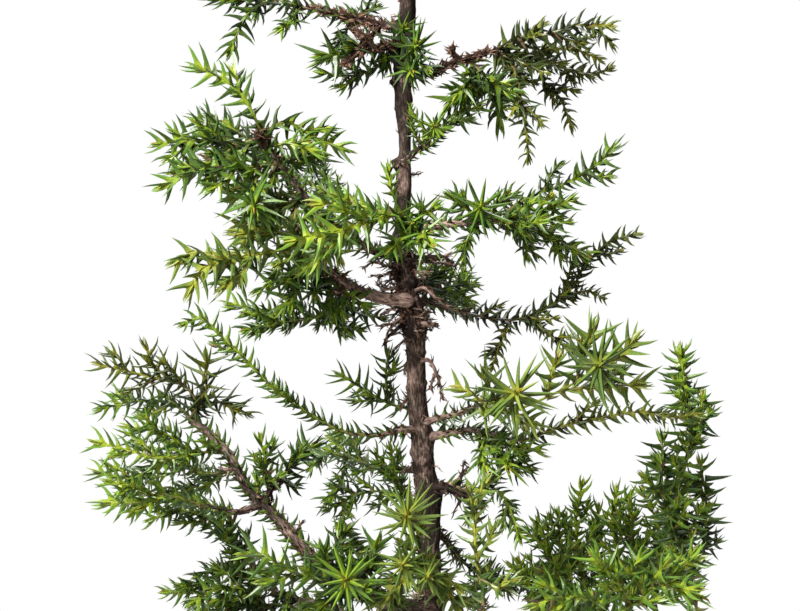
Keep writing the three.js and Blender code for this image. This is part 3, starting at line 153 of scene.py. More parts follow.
# %% The routes of the sprays
SPRAYS = {
  "crown_leader": [
    [8, 3, "408 -185 0, 410 -206 2, 407 -232 0"],
    [8, 1, "409 -192 1, 424 -206 -10, 436 -222 -14"],
    [8, 1, "409 -196 1, 394 -208 10, 384 -222 14"]],
  "crown_left": [
    [8, 3, "406 -60 2, 385 -80 -8, 360 -92 -14, 336 -112 -18"],
    [8, 2, "392 -73 -5, 384 -98 2, 370 -124 6"]],
  "crown_right": [
    [8, 3, "409 -98 1, 430 -118 8, 454 -128 12, 474 -146 14"],
    [8, 2, "422 -111 5, 432 -136 -8, 448 -158 -14"]],
  "crown_front": [
    [8, 3, "407 -35 2, 415 -50 -22, 430 -62 -46"],
    [8, 2, "410 -42 -8, 390 -52 -26, 374 -58 -38"]],
  "crown_back": [
    [8, 3, "408 -76 2, 398 -96 24, 384 -110 48"],
    [8, 2, "404 -84 10, 422 -96 28, 440 -104 40"]],
  "right_high_crest": [
    [8, 2, "500 49 -10, 520 38 -12, 545 24 -13"],
    [7.5, 3, "516 41 -12, 548 34 -16, 580 25 -18, 600 33 -18, 613 46 -17"]],
  "right_high_middle": [
    [7.5, 3, "490 52 -9, 522 56 -3, 550 49 -1, 580 51 0, 602 61 1"],
    [7, 2, "530 54 -2, 556 66 8, 590 74 10, 612 68 11"],
    [7.5, 1, "538 52 -2, 544 82 12, 560 98 14, 572 128 16"],
    [7, 1, "508 54 -6, 517 78 -16, 522 108 -20, 527 138 -21, 528 162 -20"]],
  "right_high_inner": [
    [8, 1, "470 58 -8, 480 78 -6, 470 102 -9"],
    [8, 1, "479 76 -6, 494 100 0, 500 124 2"],
    [8, 1, "474 66 -7, 492 82 -16, 510 92 -20"],
    [8, 1, "477 82 -7, 458 92 -12, 446 108 -14"]],
  "front_high_star": [
    [13, 0, "404 62 -3, 412 54 -14, 416 44 -26"],
    [10, 0, "411 56 -12, 420 64 -18, 428 70 -22"]],
  "right_upper": [
    [8, 1, "426 144 -7, 438 130 -12, 458 114 -14, 480 106 -14"],
    [7, 0, "431 138 -9, 420 124 -12, 412 114 -12"],
    [9, 0, "436 132 -11, 436 130 -19, 434 126 -27"]],
  "right_middle_star": [
    [14, 0, "480 222 -8, 480 213 -18, 481 206 -29"],
    [7, 1, "480 219 -11, 468 238 -12, 464 262 -10"],
    [9, 1, "480 217 -13, 464 206 -18, 450 196 -20"]],
  "right_middle_long": [[7.5, 4, "502 221 -10, 514 206 -9, 540 193 -8, 562 185 -7, 586 172 -6, 602 160 -5, "
     "613 148 -5"]],
  "right_middle_cluster": [
    [8, 2, "492 222 -9, 526 217 -18, 552 207 -22, 574 199 -23"],
    [8, 2, "512 220 -14, 530 230 -8, 548 232 -3, 570 249 1, 584 258 2"]],
  "right_arch": [
    [8, 5, "458 311 9, 484 317 11, 512 320 12, 540 312 12, 570 290 10, 586 264 8, 610 242 6, 640 234 5"],
    [6.5, 1, "508 320 12, 500 344 8, 491 370 6"],
    [6.5, 1, "526 317 12, 556 340 2, 576 355 -8"],
    [6, 0, "560 299 11, 586 291 14, 604 298 16"]],
  "right_back_cluster": [
    [8, 2, "411 288 3, 430 282 22, 450 286 38, 474 304 44"],
    [8, 1, "428 282 20, 446 266 42"]],
  "front_star_left": [
    [14, 0, "480 405 -32, 502 399 -52, 518 393 -72"],
    [9, 1, "492 402 -42, 516 414 -54, 536 424 -60"],
    [9, 0, "498 400 -48, 488 384 -58, 484 374 -62"],
    [8, 0, "485 404 -36, 470 392 -36, 458 388 -34"]],
  "front_star_right": [
    [15, 0, "464 411 -22, 508 412 -30, 558 392 -48, 588 374 -62, 601 364 -80"],
    [11, 1, "575 382 -56, 586 352 -62, 592 330 -64"],
    [11, 0, "588 374 -62, 618 356 -62, 634 340 -62"],
    [10, 1, "560 391 -49, 600 386 -50, 640 385 -52"],
    [9, 0, "548 397 -44, 552 374 -50, 558 358 -54"]],
  "right_low_long": [[9, 4, "500 436 -10, 524 440 -10, 560 427 -8, 600 418 -10, 640 412 -16, 670 417 -21, "
     "700 414 -25"]],
  "right_low_star": [
    [11, 0, "486 433 -10, 498 450 -17, 508 466 -29"],
    [8, 1, "497 448 -16, 514 464 -14, 534 470 -13"]],
  "right_hanging": [
    [7.5, 2, "470 492 -10, 490 488 -12, 507 502 -13, 520 540 -13"],
    [7, 0, "480 489 -11, 478 506 -4, 466 522 -2"],
    [7, 1, "484 488 -11, 496 478 -18, 502 466 -22"]],
  "right_edge_rise": [
    [9, 6, "692 626 -8, 696 600 -8, 686 560 -8, 680 520 -8, 679 490 -7, 689 450 -6, 687 410 -5, 684 380 -5, "
     "680 350 -5"],
    [9, 3, "690 580 -8, 704 540 6, 706 500 10, 700 462 10"]],
  "right_back_fan": [
    [8, 2, "540 628 30, 570 618 42, 604 600 50, 640 584 54, 664 556 54, 656 520 54, 642 490 52"],
    [8, 3, "556 622 37, 548 590 36, 550 552 38, 537 520 38"],
    [8, 2, "592 606 49, 580 562 54, 576 522 56, 582 484 56"],
    [8, 2, "622 592 52, 618 556 46, 612 520 46, 617 488 48"],
    [8, 2, "652 574 54, 680 566 46, 700 548 44"]],
  "right_front_bottom": [
    [9, 3, "600 626 -55, 634 604 -62, 660 584 -64, 700 598 -64"],
    [9, 2, "612 617 -58, 592 602 -64, 562 597 -67, 532 606 -68"],
    [9, 1, "645 594 -64, 632 572 -66, 642 556 -68"]],
  "front_right_rise": [
    [9, 3, "484 604 -80, 479 570 -83, 475 540 -84, 478 500 -82, 488 478 -82"],
    [10, 1, "481 580 -82, 498 588 -86, 514 582 -90"]],
  "front_low_star": [
    [13, 1, "424 566 -26, 415 540 -44, 410 526 -56, 407 515 -70"],
    [10, 0, "420 556 -34, 408 562 -46, 402 566 -56"],
    [10, 0, "422 560 -30, 428 572 -44, 427 578 -56"],
    [9, 1, "423 564 -28, 442 576 -38, 460 590 -46"]],
  "left_front_bottom": [
    [12, 1, "348 586 -10, 350 584 -34, 346 580 -56"],
    [10, 2, "349 585 -26, 320 580 -36, 290 570 -38, 264 556 -38, 246 555 -37"],
    [10, 1, "350 585 -20, 368 566 -30, 378 542 -36"]],
  "left_main_top": [
    [9, 2, "318 563 -12, 334 548 -2, 348 528 4"],
    [9, 1, "333 549 -3, 358 552 6, 378 560 10"]],
  "left_high_long": [
    [9, 3, "312 9 8, 280 4 10, 248 0 10, 216 -2 9"],
    [10, 0, "266 2 10, 246 16 6, 230 50 4"],
    [8, 1, "296 6 9, 292 20 0, 280 30 -4"]],
  "left_high_star": [
    [12, 1, "404 46 0, 380 46 -9, 350 52 -15, 322 56 -20"],
    [8, 1, "392 46 -5, 376 68 -3, 346 76 -3, 320 72 -4"]],
  "left_high_back": [
    [9, 2, "352 18 6, 344 36 18, 330 58 24"],
    [8, 1, "349 24 12, 366 10 20, 372 -8 24"]],
  "left_front_crest": [
    [9, 2, "268 147 -57, 256 120 -64, 245 100 -65, 225 80 -64, 197 67 -62"],
    [8, 2, "262 134 -61, 286 122 -56, 312 136 -52, 344 150 -50"]],
  "left_front_tip": [[9, 4, "262 138 -58, 235 144 -54, 200 140 -52, 158 144 -50"]],
  "left_front_lower": [
    [9, 3, "280 163 -55, 240 168 -64, 200 170 -66, 164 186 -64"],
    [13, 0, "258 165 -60, 254 188 -70, 254 208 -84"]],
  "left_front_star": [
    [12, 1, "304 196 -50, 272 210 -44, 240 226 -42"],
    [8, 1, "286 204 -46, 262 188 -36, 226 190 -30"]],
  "front_sweep": [
    [10, 2, "411 224 -42, 396 214 -60, 370 221 -72, 330 234 -78, 292 240 -80"],
    [9, 1, "388 215 -64, 352 204 -62, 318 204 -62"],
    [9, 1, "352 227 -76, 326 250 -72, 302 270 -66"]],
  "left_front_far": [
    [9, 3, "332 224 -40, 294 246 -60, 250 256 -74, 206 268 -82, 190 290 -84"],
    [8, 1, "224 262 -80, 196 252 -78, 176 262 -78"]],
  "left_stub_star": [
    [11, 0, "308 263 5, 298 272 -4, 287 280 -16"],
    [10, 0, "302 268 0, 314 284 -8, 315 297 -18"]],
  "left_stub_hanging": [
    [8, 4, "345 284 -3, 336 308 4, 300 320 7, 264 311 9, 230 305 9"],
    [8, 0, "338 304 3, 362 314 6, 384 318 8"]],
  "left_long": [[8, 4, "380 436 -8, 345 432 -10, 318 419 -12, 290 400 -13, 265 380 -14, 244 358 -15, "
     "220 335 -15, 200 318 -15, 182 325 -15"]],
  "left_inner": [
    [8, 2, "418 410 2, 396 406 10, 378 398 13, 358 385 16, 340 375 18"],
    [7, 1, "388 403 12, 386 380 9, 388 352 8"]],
  "left_small": [[7, 1, "403 200 0, 392 192 -5, 388 166 -6"]],
  "left_top_shoot": [
    [8, 5, "190 420 -10, 196 402 -12, 184 386 -13, 164 380 -13, 130 372 -12, 98 364 -12"],
    [8, 1, "176 383 -13, 154 366 -16, 146 346 -17"],
    [11, 0, "194 406 -11, 206 388 -24, 206 358 -32"],
    [8, 1, "193 410 -11, 222 402 2, 248 414 8"]],
  "left_west": [[8, 3, "202 428 -11, 172 404 0, 136 401 4, 98 410 5"]],
  "left_bright": [
    [9, 3, "222 447 -14, 196 452 -24, 165 434 -30, 128 427 -32"],
    [9, 2, "200 451 -22, 162 458 -36, 120 448 -38, 97 442 -38"]],
  "left_mass": [
    [9, 4, "238 472 -14, 205 474 -6, 164 462 -3, 132 478 0, 98 472 2"],
    [8, 2, "212 474 -8, 192 488 8, 164 498 12"]],
  "left_tip_low": [
    [9, 3, "200 505 -20, 164 494 -24, 138 502 -26, 104 502 -26"],
    [8, 1, "152 498 -25, 130 486 -36, 108 482 -40"]],
  "left_rise": [
    [9, 2, "255 496 -11, 266 470 -20, 260 438 -24"],
    [10, 2, "262 481 -17, 284 474 -6, 300 454 -2, 316 444 0"]],
  "left_back_fan": [
    [8, 2, "250 560 30, 228 534 28, 200 514 26, 172 512 24, 150 520 24"],
    [8, 2, "240 548 29, 218 574 24, 192 590 20, 164 592 18"]],
  "left_back_bottom": [
    [8, 3, "282 594 29, 262 612 24, 232 618 20, 200 610 16"],
    [9, 2, "268 608 26, 246 590 10, 218 588 4, 190 604 2"]],
  "left_dark": [
    [8, 3, "428 512 0, 404 496 12, 366 492 18, 326 510 20"],
    [9, 1, "404 496 12, 388 472 6, 376 452 2"]],
  "low_left": [[9, 4, "280 655 -24, 250 642 -30, 215 642 -34, 180 652 -36"]],
  "low_left_inner": [[9, 3, "330 668 -20, 318 640 -36, 296 622 -50"]],
  "back_upper": [
    [8, 4, "362 210 38, 324 192 60, 290 172 78, 256 158 90"],
    [8, 2, "340 200 50, 326 178 70, 308 152 84"],
    [8, 1, "300 178 72, 296 196 86, 280 214 94"]],
  "back_middle": [
    [8, 4, "438 298 42, 452 292 66, 462 282 88, 464 270 102"],
    [8, 2, "448 294 56, 428 278 76, 414 258 90"],
    [8, 1, "453 291 68, 462 306 84, 470 318 94"]],
  "back_low_left": [
    [8, 4, "380 470 44, 350 458 66, 322 454 86, 296 458 100"],
    [8, 2, "362 462 58, 354 446 76, 336 434 88"],
    [8, 2, "344 457 70, 342 480 88, 326 502 98"]],
  "back_low_right": [
    [8, 4, "462 562 44, 500 580 64, 544 572 80, 582 552 92"],
    [8, 2, "478 570 54, 474 590 74, 470 606 86"],
    [8, 2, "516 578 70, 536 596 86, 556 606 94"]],
  "back_bottom": [
    [8, 4, "408 650 50, 392 624 72, 372 596 90, 350 576 102"],
    [8, 2, "398 634 64, 416 612 82, 420 584 94"]],
}
print("sprays:", len(SPRAYS), "with", sum(len(stems) for stems in SPRAYS.values()), "listed stems")

# %% Finer stems
# They stand between those of the solids, in the places where the tree is dense
FINER = {
  "front_high_star": [
    [12, 0, "404 66 -3, 408 68 -14, 412 72 -24"],
    [11, 0, "404 50 -3, 402 36 -14, 404 26 -20"]],
  "right_upper": [
    [3.8, 0, "406 160 -1, 422 142 -9, 436 128 -12"],
    [3.8, 0, "406 161 -1, 430 146 -12, 454 120 -16"],
    [3.8, 0, "413 153 -4, 413 132 -10, 411 106 -12"]],
  "front_sweep": [
    [10, 1, "411 224 -42, 420 234 -58, 432 243 -68"],
    [10, 2, "411 224 -42, 402 238 -58, 390 250 -66"],
    [10, 1, "411 224 -42, 424 214 -52, 436 206 -58"]],
  "left_front_crest": [[8, 2, "268 147 -57, 290 144 -62, 316 152 -62"]],
  "left_front_tip": [
    [9, 3, "240 146 -54, 214 160 -58, 178 168 -60"],
    [9, 3, "252 142 -56, 226 128 -46, 196 120 -42"]],
  "left_front_far": [
    [9, 2, "304 242 -56, 272 230 -66, 240 234 -72"],
    [9, 2, "256 254 -74, 240 274 -78, 222 288 -80"]],
  "right_front_bottom": [
    [9, 3, "634 604 -62, 616 580 -68, 594 556 -70"],
    [9, 3, "600 626 -55, 572 614 -62, 544 618 -64"],
    [9, 3, "660 584 -64, 680 570 -66, 694 552 -66"]],
  "right_high_middle": [
    [7.5, 2, "496 51 -8, 520 62 -12, 548 74 -16"],
    [7, 2, "500 53 -7, 512 72 -4, 536 84 -2"]],
  "right_high_inner": [
    [8, 1, "476 72 -6, 466 84 -18, 456 98 -24"],
    [8, 1, "479 78 -6, 498 88 6, 520 100 10"]],
  "right_middle_cluster": [
    [8, 2, "500 221 -10, 520 224 -20, 544 222 -28"],
    [8, 2, "488 222 -9, 496 206 2, 516 194 8"],
    [8, 2, "508 220 -12, 524 240 -4, 536 256 0"]],
  "left_front_star": [
    [8, 3, "304 196 -50, 322 226 -46, 340 260 -42"],
    [8, 3, "296 198 -49, 296 232 -54, 312 268 -52"],
    [9, 3, "288 202 -47, 262 218 -56, 244 244 -60"]],
  "left_front_lower": [
    [9, 3, "276 164 -56, 250 150 -44, 222 156 -38"],
    [9, 3, "290 176 -54, 300 158 -44, 322 158 -36"],
    [9, 2, "284 170 -55, 262 190 -52, 230 200 -50"]],
  "left_stub_star": [
    [10, 3, "308 263 5, 296 288 -6, 280 310 -8"],
    [9, 3, "314 266 4, 330 294 -6, 344 316 -10"],
    [9, 2, "308 263 5, 282 276 0, 258 292 2"],
    [9, 2, "320 268 3, 344 290 -12, 366 306 -16"]],
  "left_stub_hanging": [
    [8, 3, "300 320 7, 272 324 2, 246 330 0"],
    [8, 3, "322 314 6, 340 326 0, 362 330 -4"]],
  "right_back_fan": [
    [8, 3, "570 618 42, 562 570 52, 558 512 60"],
    [8, 3, "604 600 50, 598 556 62, 598 508 70"],
    [8, 3, "640 584 54, 634 548 46, 630 502 38"],
    [8, 3, "556 622 37, 532 590 26, 518 560 18"],
    [8, 3, "664 556 54, 670 520 44, 668 494 36"],
    [8, 3, "588 608 46, 566 584 28, 540 570 14"],
    [8, 3, "640 584 54, 660 560 30, 676 530 20"]],
  "right_edge_rise": [
    [9, 3, "688 566 -8, 674 532 -12, 664 492 -14, 660 462 -12"],
    [9, 2, "689 450 -6, 700 424 -10, 702 396 -12"],
    [9, 0, "686 430 -5, 683 390 -2, 680 354 -2"],
    [9, 2, "680 500 -8, 664 470 -2, 662 436 2"]],
  "right_low_star": [
    [9, 2, "486 433 -10, 482 452 -22, 486 470 -30"],
    [9, 2, "492 440 -12, 516 446 -22, 540 450 -26"]],
  "left_front_bottom": [
    [9, 4, "350 585 -12, 372 592 -22, 398 600 -28"],
    [9, 4, "350 584 -14, 332 598 -18, 316 616 -20"],
    [9, 3, "346 584 -30, 330 564 -40, 322 548 -44"]],
  "front_low_star": [
    [9, 3, "424 566 -26, 446 590 -34, 462 614 -36"],
    [9, 4, "424 566 -26, 398 586 -34, 382 606 -36"]],
  "left_back_bottom": [
    [8, 4, "262 606 25, 246 576 16, 230 544 8, 220 518 2"],
    [8, 3, "276 590 29, 290 606 20, 310 618 14"],
    [8, 3, "262 606 25, 240 600 16, 214 604 12"]],
  "left_dark": [
    [8, 3, "340 500 18, 346 530 12, 366 552 10"],
    [7.5, 2, "404 496 12, 396 474 -2, 390 446 -12"]],
}
print("finer stems:", sum(len(stems) for stems in FINER.values()), "on", len(FINER), "sprays")

# %% [markdown]
# ## Lines
# A limb or a shoot is a line before it is anything else. A spline modifier could carry it, but a line
# held as arrays can be asked for its direction anywhere, which the needles need. The line passes
# through its places by the Catmull-Rom rule, and then gets even steps. To set things round it, each
# point also has two directions square to it. They are taken from the plane that the line lies nearest
# to, so they never spin.

# %% A smooth line with directions round it
FINE_STEPS = 40  # steps of the smooth line from one place to the next


def unit(vectors):
    """Each vector divided by its length."""
    return vectors / np.linalg.norm(vectors, axis=-1, keepdims=True)


class Line:
    """Points at even steps along a smooth line through the given places, with the distance run, the
    direction along, and two directions square to it."""

    def __init__(self, places, step):
        ends = np.vstack([2 * places[0] - places[1], places, 2 * places[-1] - places[-2]])
        place = np.linspace(0, len(places) - 1, FINE_STEPS * (len(places) - 1) + 1)
        first = np.minimum(place.astype(int), len(places) - 2)
        f = (place - first)[:, None]
        a, b, c, d = ends[first], ends[first + 1], ends[first + 2], ends[first + 3]
        fine = 0.5 * (2 * b + (c - a) * f + (2 * a - 5 * b + 4 * c - d) * f ** 2
                      + (3 * b - a - 3 * c + d) * f ** 3)
        run = np.append(0, np.cumsum(np.linalg.norm(np.diff(fine, axis=0), axis=1)))
        self.length = run[-1]
        self.run = np.linspace(0, self.length, max(3, round(self.length / step)) + 1)
        self.place = np.interp(self.run, run, place)
        self.points = np.stack([np.interp(self.run, run, axis) for axis in fine.T], axis=-1)
        self.along = unit(np.gradient(self.points, axis=0))
        flat = np.linalg.svd(self.points - self.points.mean(0))[2][-1]
        self.side = unit(flat - (self.along @ flat)[:, None] * self.along)
        self.across = np.cross(self.along, self.side)

    def at(self, run, what):
        """The line's points or one of its directions at distances along it."""
        rows = np.stack([np.interp(run, self.run, axis) for axis in what.T], axis=-1)
        return rows if what is self.points else unit(rows)


def facings(line, sides):
    """Angles round a line, and at each of its points the directions side * cos + across * sin."""
    angle = np.linspace(0, 2 * np.pi, sides, endpoint=False)
    return angle, (line.side[:, None] * np.cos(angle)[None, :, None]
                   + line.across[:, None] * np.sin(angle)[None, :, None])


def nearest(points, place):
    """The point of a list that lies closest to a place."""
    return points[np.argmin(np.linalg.norm(points - place, axis=1))]


trunk = Line(sighted([place[:3] for place in TRUNK]), 0.8)
print("trunk length in mm:", round(trunk.length))

# %% [markdown]
# ## Unevenness
# Nothing on a tree is smooth or regular. The unevenness comes from a noise worked out on arrays: each
# whole-number cell of space gets its own fixed number, and between the cells the numbers are blended.
# It gives the same result each time, unlike sculpting by hand.

# %% Smooth noise
def cell_number(cells, seed):
    """A fixed number from 0 to 1 for each cell: what is left behind the point of a large sine."""
    large = np.sin(cells @ np.array([127.1, 311.7, 74.7]) + 17.3 * seed) * 43758.5453
    return large - np.floor(large)


def noise(places, seed=0):
    """The numbers of the eight cells round a place, weighted by f * f * (3 - 2 * f) on each axis."""
    cell = np.floor(places)
    f = places - cell
    f = f * f * (3 - 2 * f)
    total = np.zeros(places.shape[:-1])
    for corner in np.ndindex(2, 2, 2):
        weight = np.prod(np.where(corner, f, 1 - f), axis=-1)
        total += weight * cell_number(cell + corner, seed)
    return total


def soft_step(low, high, value):
    """0 up to low, 1 from high on, and f * f * (3 - 2 * f) between them."""
    f = np.clip((value - low) / (high - low), 0, 1)
    return f * f * (3 - 2 * f)


sample = noise(np.random.default_rng(1).uniform(0, 50, (2000, 3)))
print("noise runs from", round(float(sample.min()), 2), "to", round(float(sample.max()), 2))

# %% [markdown]
# ## Skins
# A skin is a set of points with four-sided and three-sided faces, and named numbers at the points that
# the finishes read, such as how old a needle is. Keeping skins as arrays lets hundreds of needles be
# joined into one mesh at once. Faces are listed anticlockwise as seen from outside.

# %% Skins
NO_TRIANGLES = np.zeros((0, 3), int)


def skin(points, quads, triangles=NO_TRIANGLES, **marks):
    """A skin: points in mm, faces as rows of point numbers, and one number or vector a point."""
    return {"points": points, "quads": quads, "triangles": triangles, "marks": marks}


def joined(skins):
    """Several skins as one: each skin's face numbers move on by the points before it."""
    start = np.append(0, np.cumsum([len(one["points"]) for one in skins]))[:-1]
    quads = np.vstack([one["quads"] + first for one, first in zip(skins, start)])
    triangles = np.vstack([one["triangles"] + first for one, first in zip(skins, start)])
    names = skins[0]["marks"]
    marks = {name: np.concatenate([one["marks"][name] for one in skins]) for name in names}
    return skin(np.vstack([one["points"] for one in skins]), quads, triangles, **marks)


def ring_faces(rings, sides):
    """Four-sided faces between rings of points: (i, j), (i, j + 1), (i + 1, j + 1), (i + 1, j)."""
    ring, side = np.meshgrid(np.arange(rings - 1), np.arange(sides), indexing="ij")
    here, beside = ring * sides + side, ring * sides + (side + 1) % sides
    return np.stack([here, beside, beside + sides, here + sides], axis=-1).reshape(-1, 4)


def closed_rings(rings, **marks):
    """A skin over a grid of rings, each end closed by a fan round the middle of its last ring."""
    count, sides = rings.shape[:2]
    points = np.vstack([rings.reshape(-1, 3), rings[0].mean(0), rings[-1].mean(0)])
    side = np.arange(sides)
    beside = (side + 1) % sides
    last = (count - 1) * sides
    foot = np.stack([np.full(sides, count * sides), beside, side], axis=-1)
    top = np.stack([np.full(sides, count * sides + 1), last + side, last + beside], axis=-1)
    ends = {name: np.concatenate([mark.reshape(count * sides, *mark.shape[2:]),
                                  mark[0].mean(0, keepdims=True), mark[-1].mean(0, keepdims=True)])
            for name, mark in marks.items()}
    return skin(points, ring_faces(count, sides), np.vstack([foot, top]), **ends)


print("faces of a ring of five sides:", len(ring_faces(2, 5)))

# %% Pieces
triangle_count = {}


def placed(name, data):
    """A new object in the scene, at the origin."""
    thing = bpy.data.objects.new(name, data)
    bpy.context.scene.collection.objects.link(thing)
    return thing


def piece(name, made, finish, slot, node=None, crease=0.6):
    """Puts a skin into a mesh in metres, with smooth faces that stay crisp at edges sharper than the
    crease angle, gives it its finish, and sets it on the tree."""
    mesh = bpy.data.meshes.new(name)
    quads, triangles = made["quads"], made["triangles"]
    mesh.vertices.add(len(made["points"]))
    mesh.vertices.foreach_set("co", (made["points"] * MM + POT_MIDDLE).astype(np.float32).ravel())
    corners = np.concatenate([quads.ravel(), triangles.ravel()]).astype(np.int32)
    starts = np.append(np.arange(len(quads)) * 4, quads.size + np.arange(len(triangles)) * 3)
    mesh.loops.add(len(corners))
    mesh.loops.foreach_set("vertex_index", corners)
    mesh.polygons.add(len(starts))
    mesh.polygons.foreach_set("loop_start", starts.astype(np.int32))
    mesh.update(calc_edges=True)
    mesh.polygons.foreach_set("use_smooth", np.ones(len(starts), bool))
    mesh.set_sharp_from_angle(angle=crease)
    for mark, values in made["marks"].items():
        kind, field = ("FLOAT", "value") if values.ndim == 1 else ("FLOAT_VECTOR", "vector")
        layer = mesh.attributes.new(mark, kind, "POINT")
        layer.data.foreach_set(field, values.astype(np.float32).ravel())
    mesh.materials.append(finish)
    thing = placed(name, mesh)
    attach(thing, "root")
    if node:
        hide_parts(node)
    triangle_count[name] = 2 * len(quads) + len(triangles)
    return thing


print("pieces so far:", len(triangle_count))

# %% [markdown]
# ## Awls
# Cedar needles are awls: four-edged, deeper than they are wide, broad at the foot and drawn out to a
# sharp tip. The foot runs down the shoot before it turns outward, which makes the shoot look ribbed.
# One function makes any number of them at once, each of only two dozen triangles, because the tree
# carries tens of thousands. Flakes of bark and dead needles are awls too, only flatter, browner and
# more crooked, so the same function serves for them.

# %% Many awls at once
AWL_SHARES = np.array([0.04, 0.3, 0.64])  # places along an awl that have a ring, before its tip
AWL_DEPTHS = np.array([1.0, 0.62, 0.4])  # shares of the depth and of the width at those rings
AWL_WIDTHS = np.array([1.0, 0.86, 0.6])
FOOT_SINK = 0.8  # where the foot lies, in radii of the stem
ATTACH_HEIGHT = 0.95  # where the awl's own line starts, in radii of the stem
AWL_CORNERS = np.array([[1, 0], [0, 1], [-1, 0], [0, -1]])  # shares of depth and width, round an awl
AWL_KEELS = [1.0, 0.0, 1.0, 0.0]  # 1 at a corner on the keel and 0 at one on the flank
FOOT_FAN = np.array([[0, 2, 1], [0, 3, 2], [0, 4, 3], [0, 1, 4]])
AWL_SIDES = 1 + ring_faces(len(AWL_SHARES), len(AWL_CORNERS))
AWL_POINTS = 2 + AWL_SIDES.max()
LAST_RING = AWL_POINTS - 1 - len(AWL_CORNERS)
TIP_FAN = FOOT_FAN[:, [0, 2, 1]] + LAST_RING - 1
TIP_FAN[:, 0] = AWL_POINTS - 1


def awls(root, along, out, stem, reach, lean, bend, depth, width, foot, **marks):
    """Awls that start round stems. Each leaves at the lean angle and bends back towards the stem: its
    line is the integral of cos(lean - bend * t) along + sin(lean - bend * t) out, for t from 0 to 1,
    times its reach. Rings of four corners, depth by width, lie between its foot and its tip."""
    def place(t):
        """Steps along and outward at shares of the awl, and its angle there."""
        turn = lean[:, None] - bend[:, None] * t
        ahead = (np.sin(lean)[:, None] - np.sin(turn)) / bend[:, None] * reach[:, None]
        outward = (np.cos(turn) - np.cos(lean)[:, None]) / bend[:, None] * reach[:, None]
        return ahead, ATTACH_HEIGHT * stem[:, None] + outward, turn

    def spot(ahead, outward):
        """The point so far along and so far outward from each root."""
        return root[:, None] + ahead[..., None] * along[:, None] + outward[..., None] * out[:, None]

    ahead, outward, turn = place(AWL_SHARES)
    thick = np.cos(turn)[..., None] * out[:, None] - np.sin(turn)[..., None] * along[:, None]
    beside = np.cross(along, out)[:, None] * np.ones_like(thick)
    deep, wide = AWL_DEPTHS * depth[:, None], AWL_WIDTHS * width[:, None]
    corners = (AWL_CORNERS[:, :1] * (deep[..., None] * thick)[:, :, None]
               + AWL_CORNERS[:, 1:] * (wide[..., None] * beside)[:, :, None])
    rings = (spot(ahead, outward)[:, :, None] + corners).reshape(len(root), -1, 3)
    heel = spot(-foot[:, None], FOOT_SINK * stem[:, None])
    points = np.concatenate([heel, rings, spot(*place(np.array([1.0]))[:2])], axis=1)
    start = AWL_POINTS * np.arange(len(root))[:, None, None]
    spread = {name: np.repeat(mark, AWL_POINTS) for name, mark in marks.items()}
    share = np.concatenate([[0.0], np.repeat(AWL_SHARES, len(AWL_CORNERS)), [1.0]])
    keel = np.concatenate([[0.5], np.tile(AWL_KEELS, len(AWL_SHARES)), [0.5]])
    return skin(points.reshape(-1, 3), (AWL_SIDES + start).reshape(-1, 4),
                (np.vstack([FOOT_FAN, TIP_FAN]) + start).reshape(-1, 3),
                reach=np.tile(share, len(root)), keel=np.tile(keel, len(root)), **spread)


print("triangles of an awl:", len(FOOT_FAN) + 2 * len(AWL_SIDES) + len(TIP_FAN))

# %% [markdown]
# ## Writing finishes
# A finish is a network of shader nodes. Laid out by hand it is hard to read, so sums are written as
# sums here: a Term is a number inside the material, and each sign between Terms adds its Math node.
# Every other node comes from one method that sets the node's own settings first and its sockets next.

# %% Terms and finishes
class Term:
    """A number that changes over a surface, with the signs that the finishes below use."""

    def __init__(self, finish, socket):
        self.finish = finish
        self.socket = socket

    def sum(self, operation, first, second):
        """The Math node of one sign, as a new Term."""
        return Term(self.finish, self.finish.node(
            "ShaderNodeMath", {"operation": operation}, {0: first, 1: second}).outputs[0])

    def __add__(self, other):
        return self.sum("ADD", self, other)

    def __sub__(self, other):
        return self.sum("SUBTRACT", self, other)

    def __rsub__(self, other):
        return self.sum("SUBTRACT", other, self)

    def __mul__(self, other):
        return self.sum("MULTIPLY", self, other)

    def __pow__(self, other):
        return self.sum("POWER", self, other)

    __radd__ = __add__
    __rmul__ = __mul__


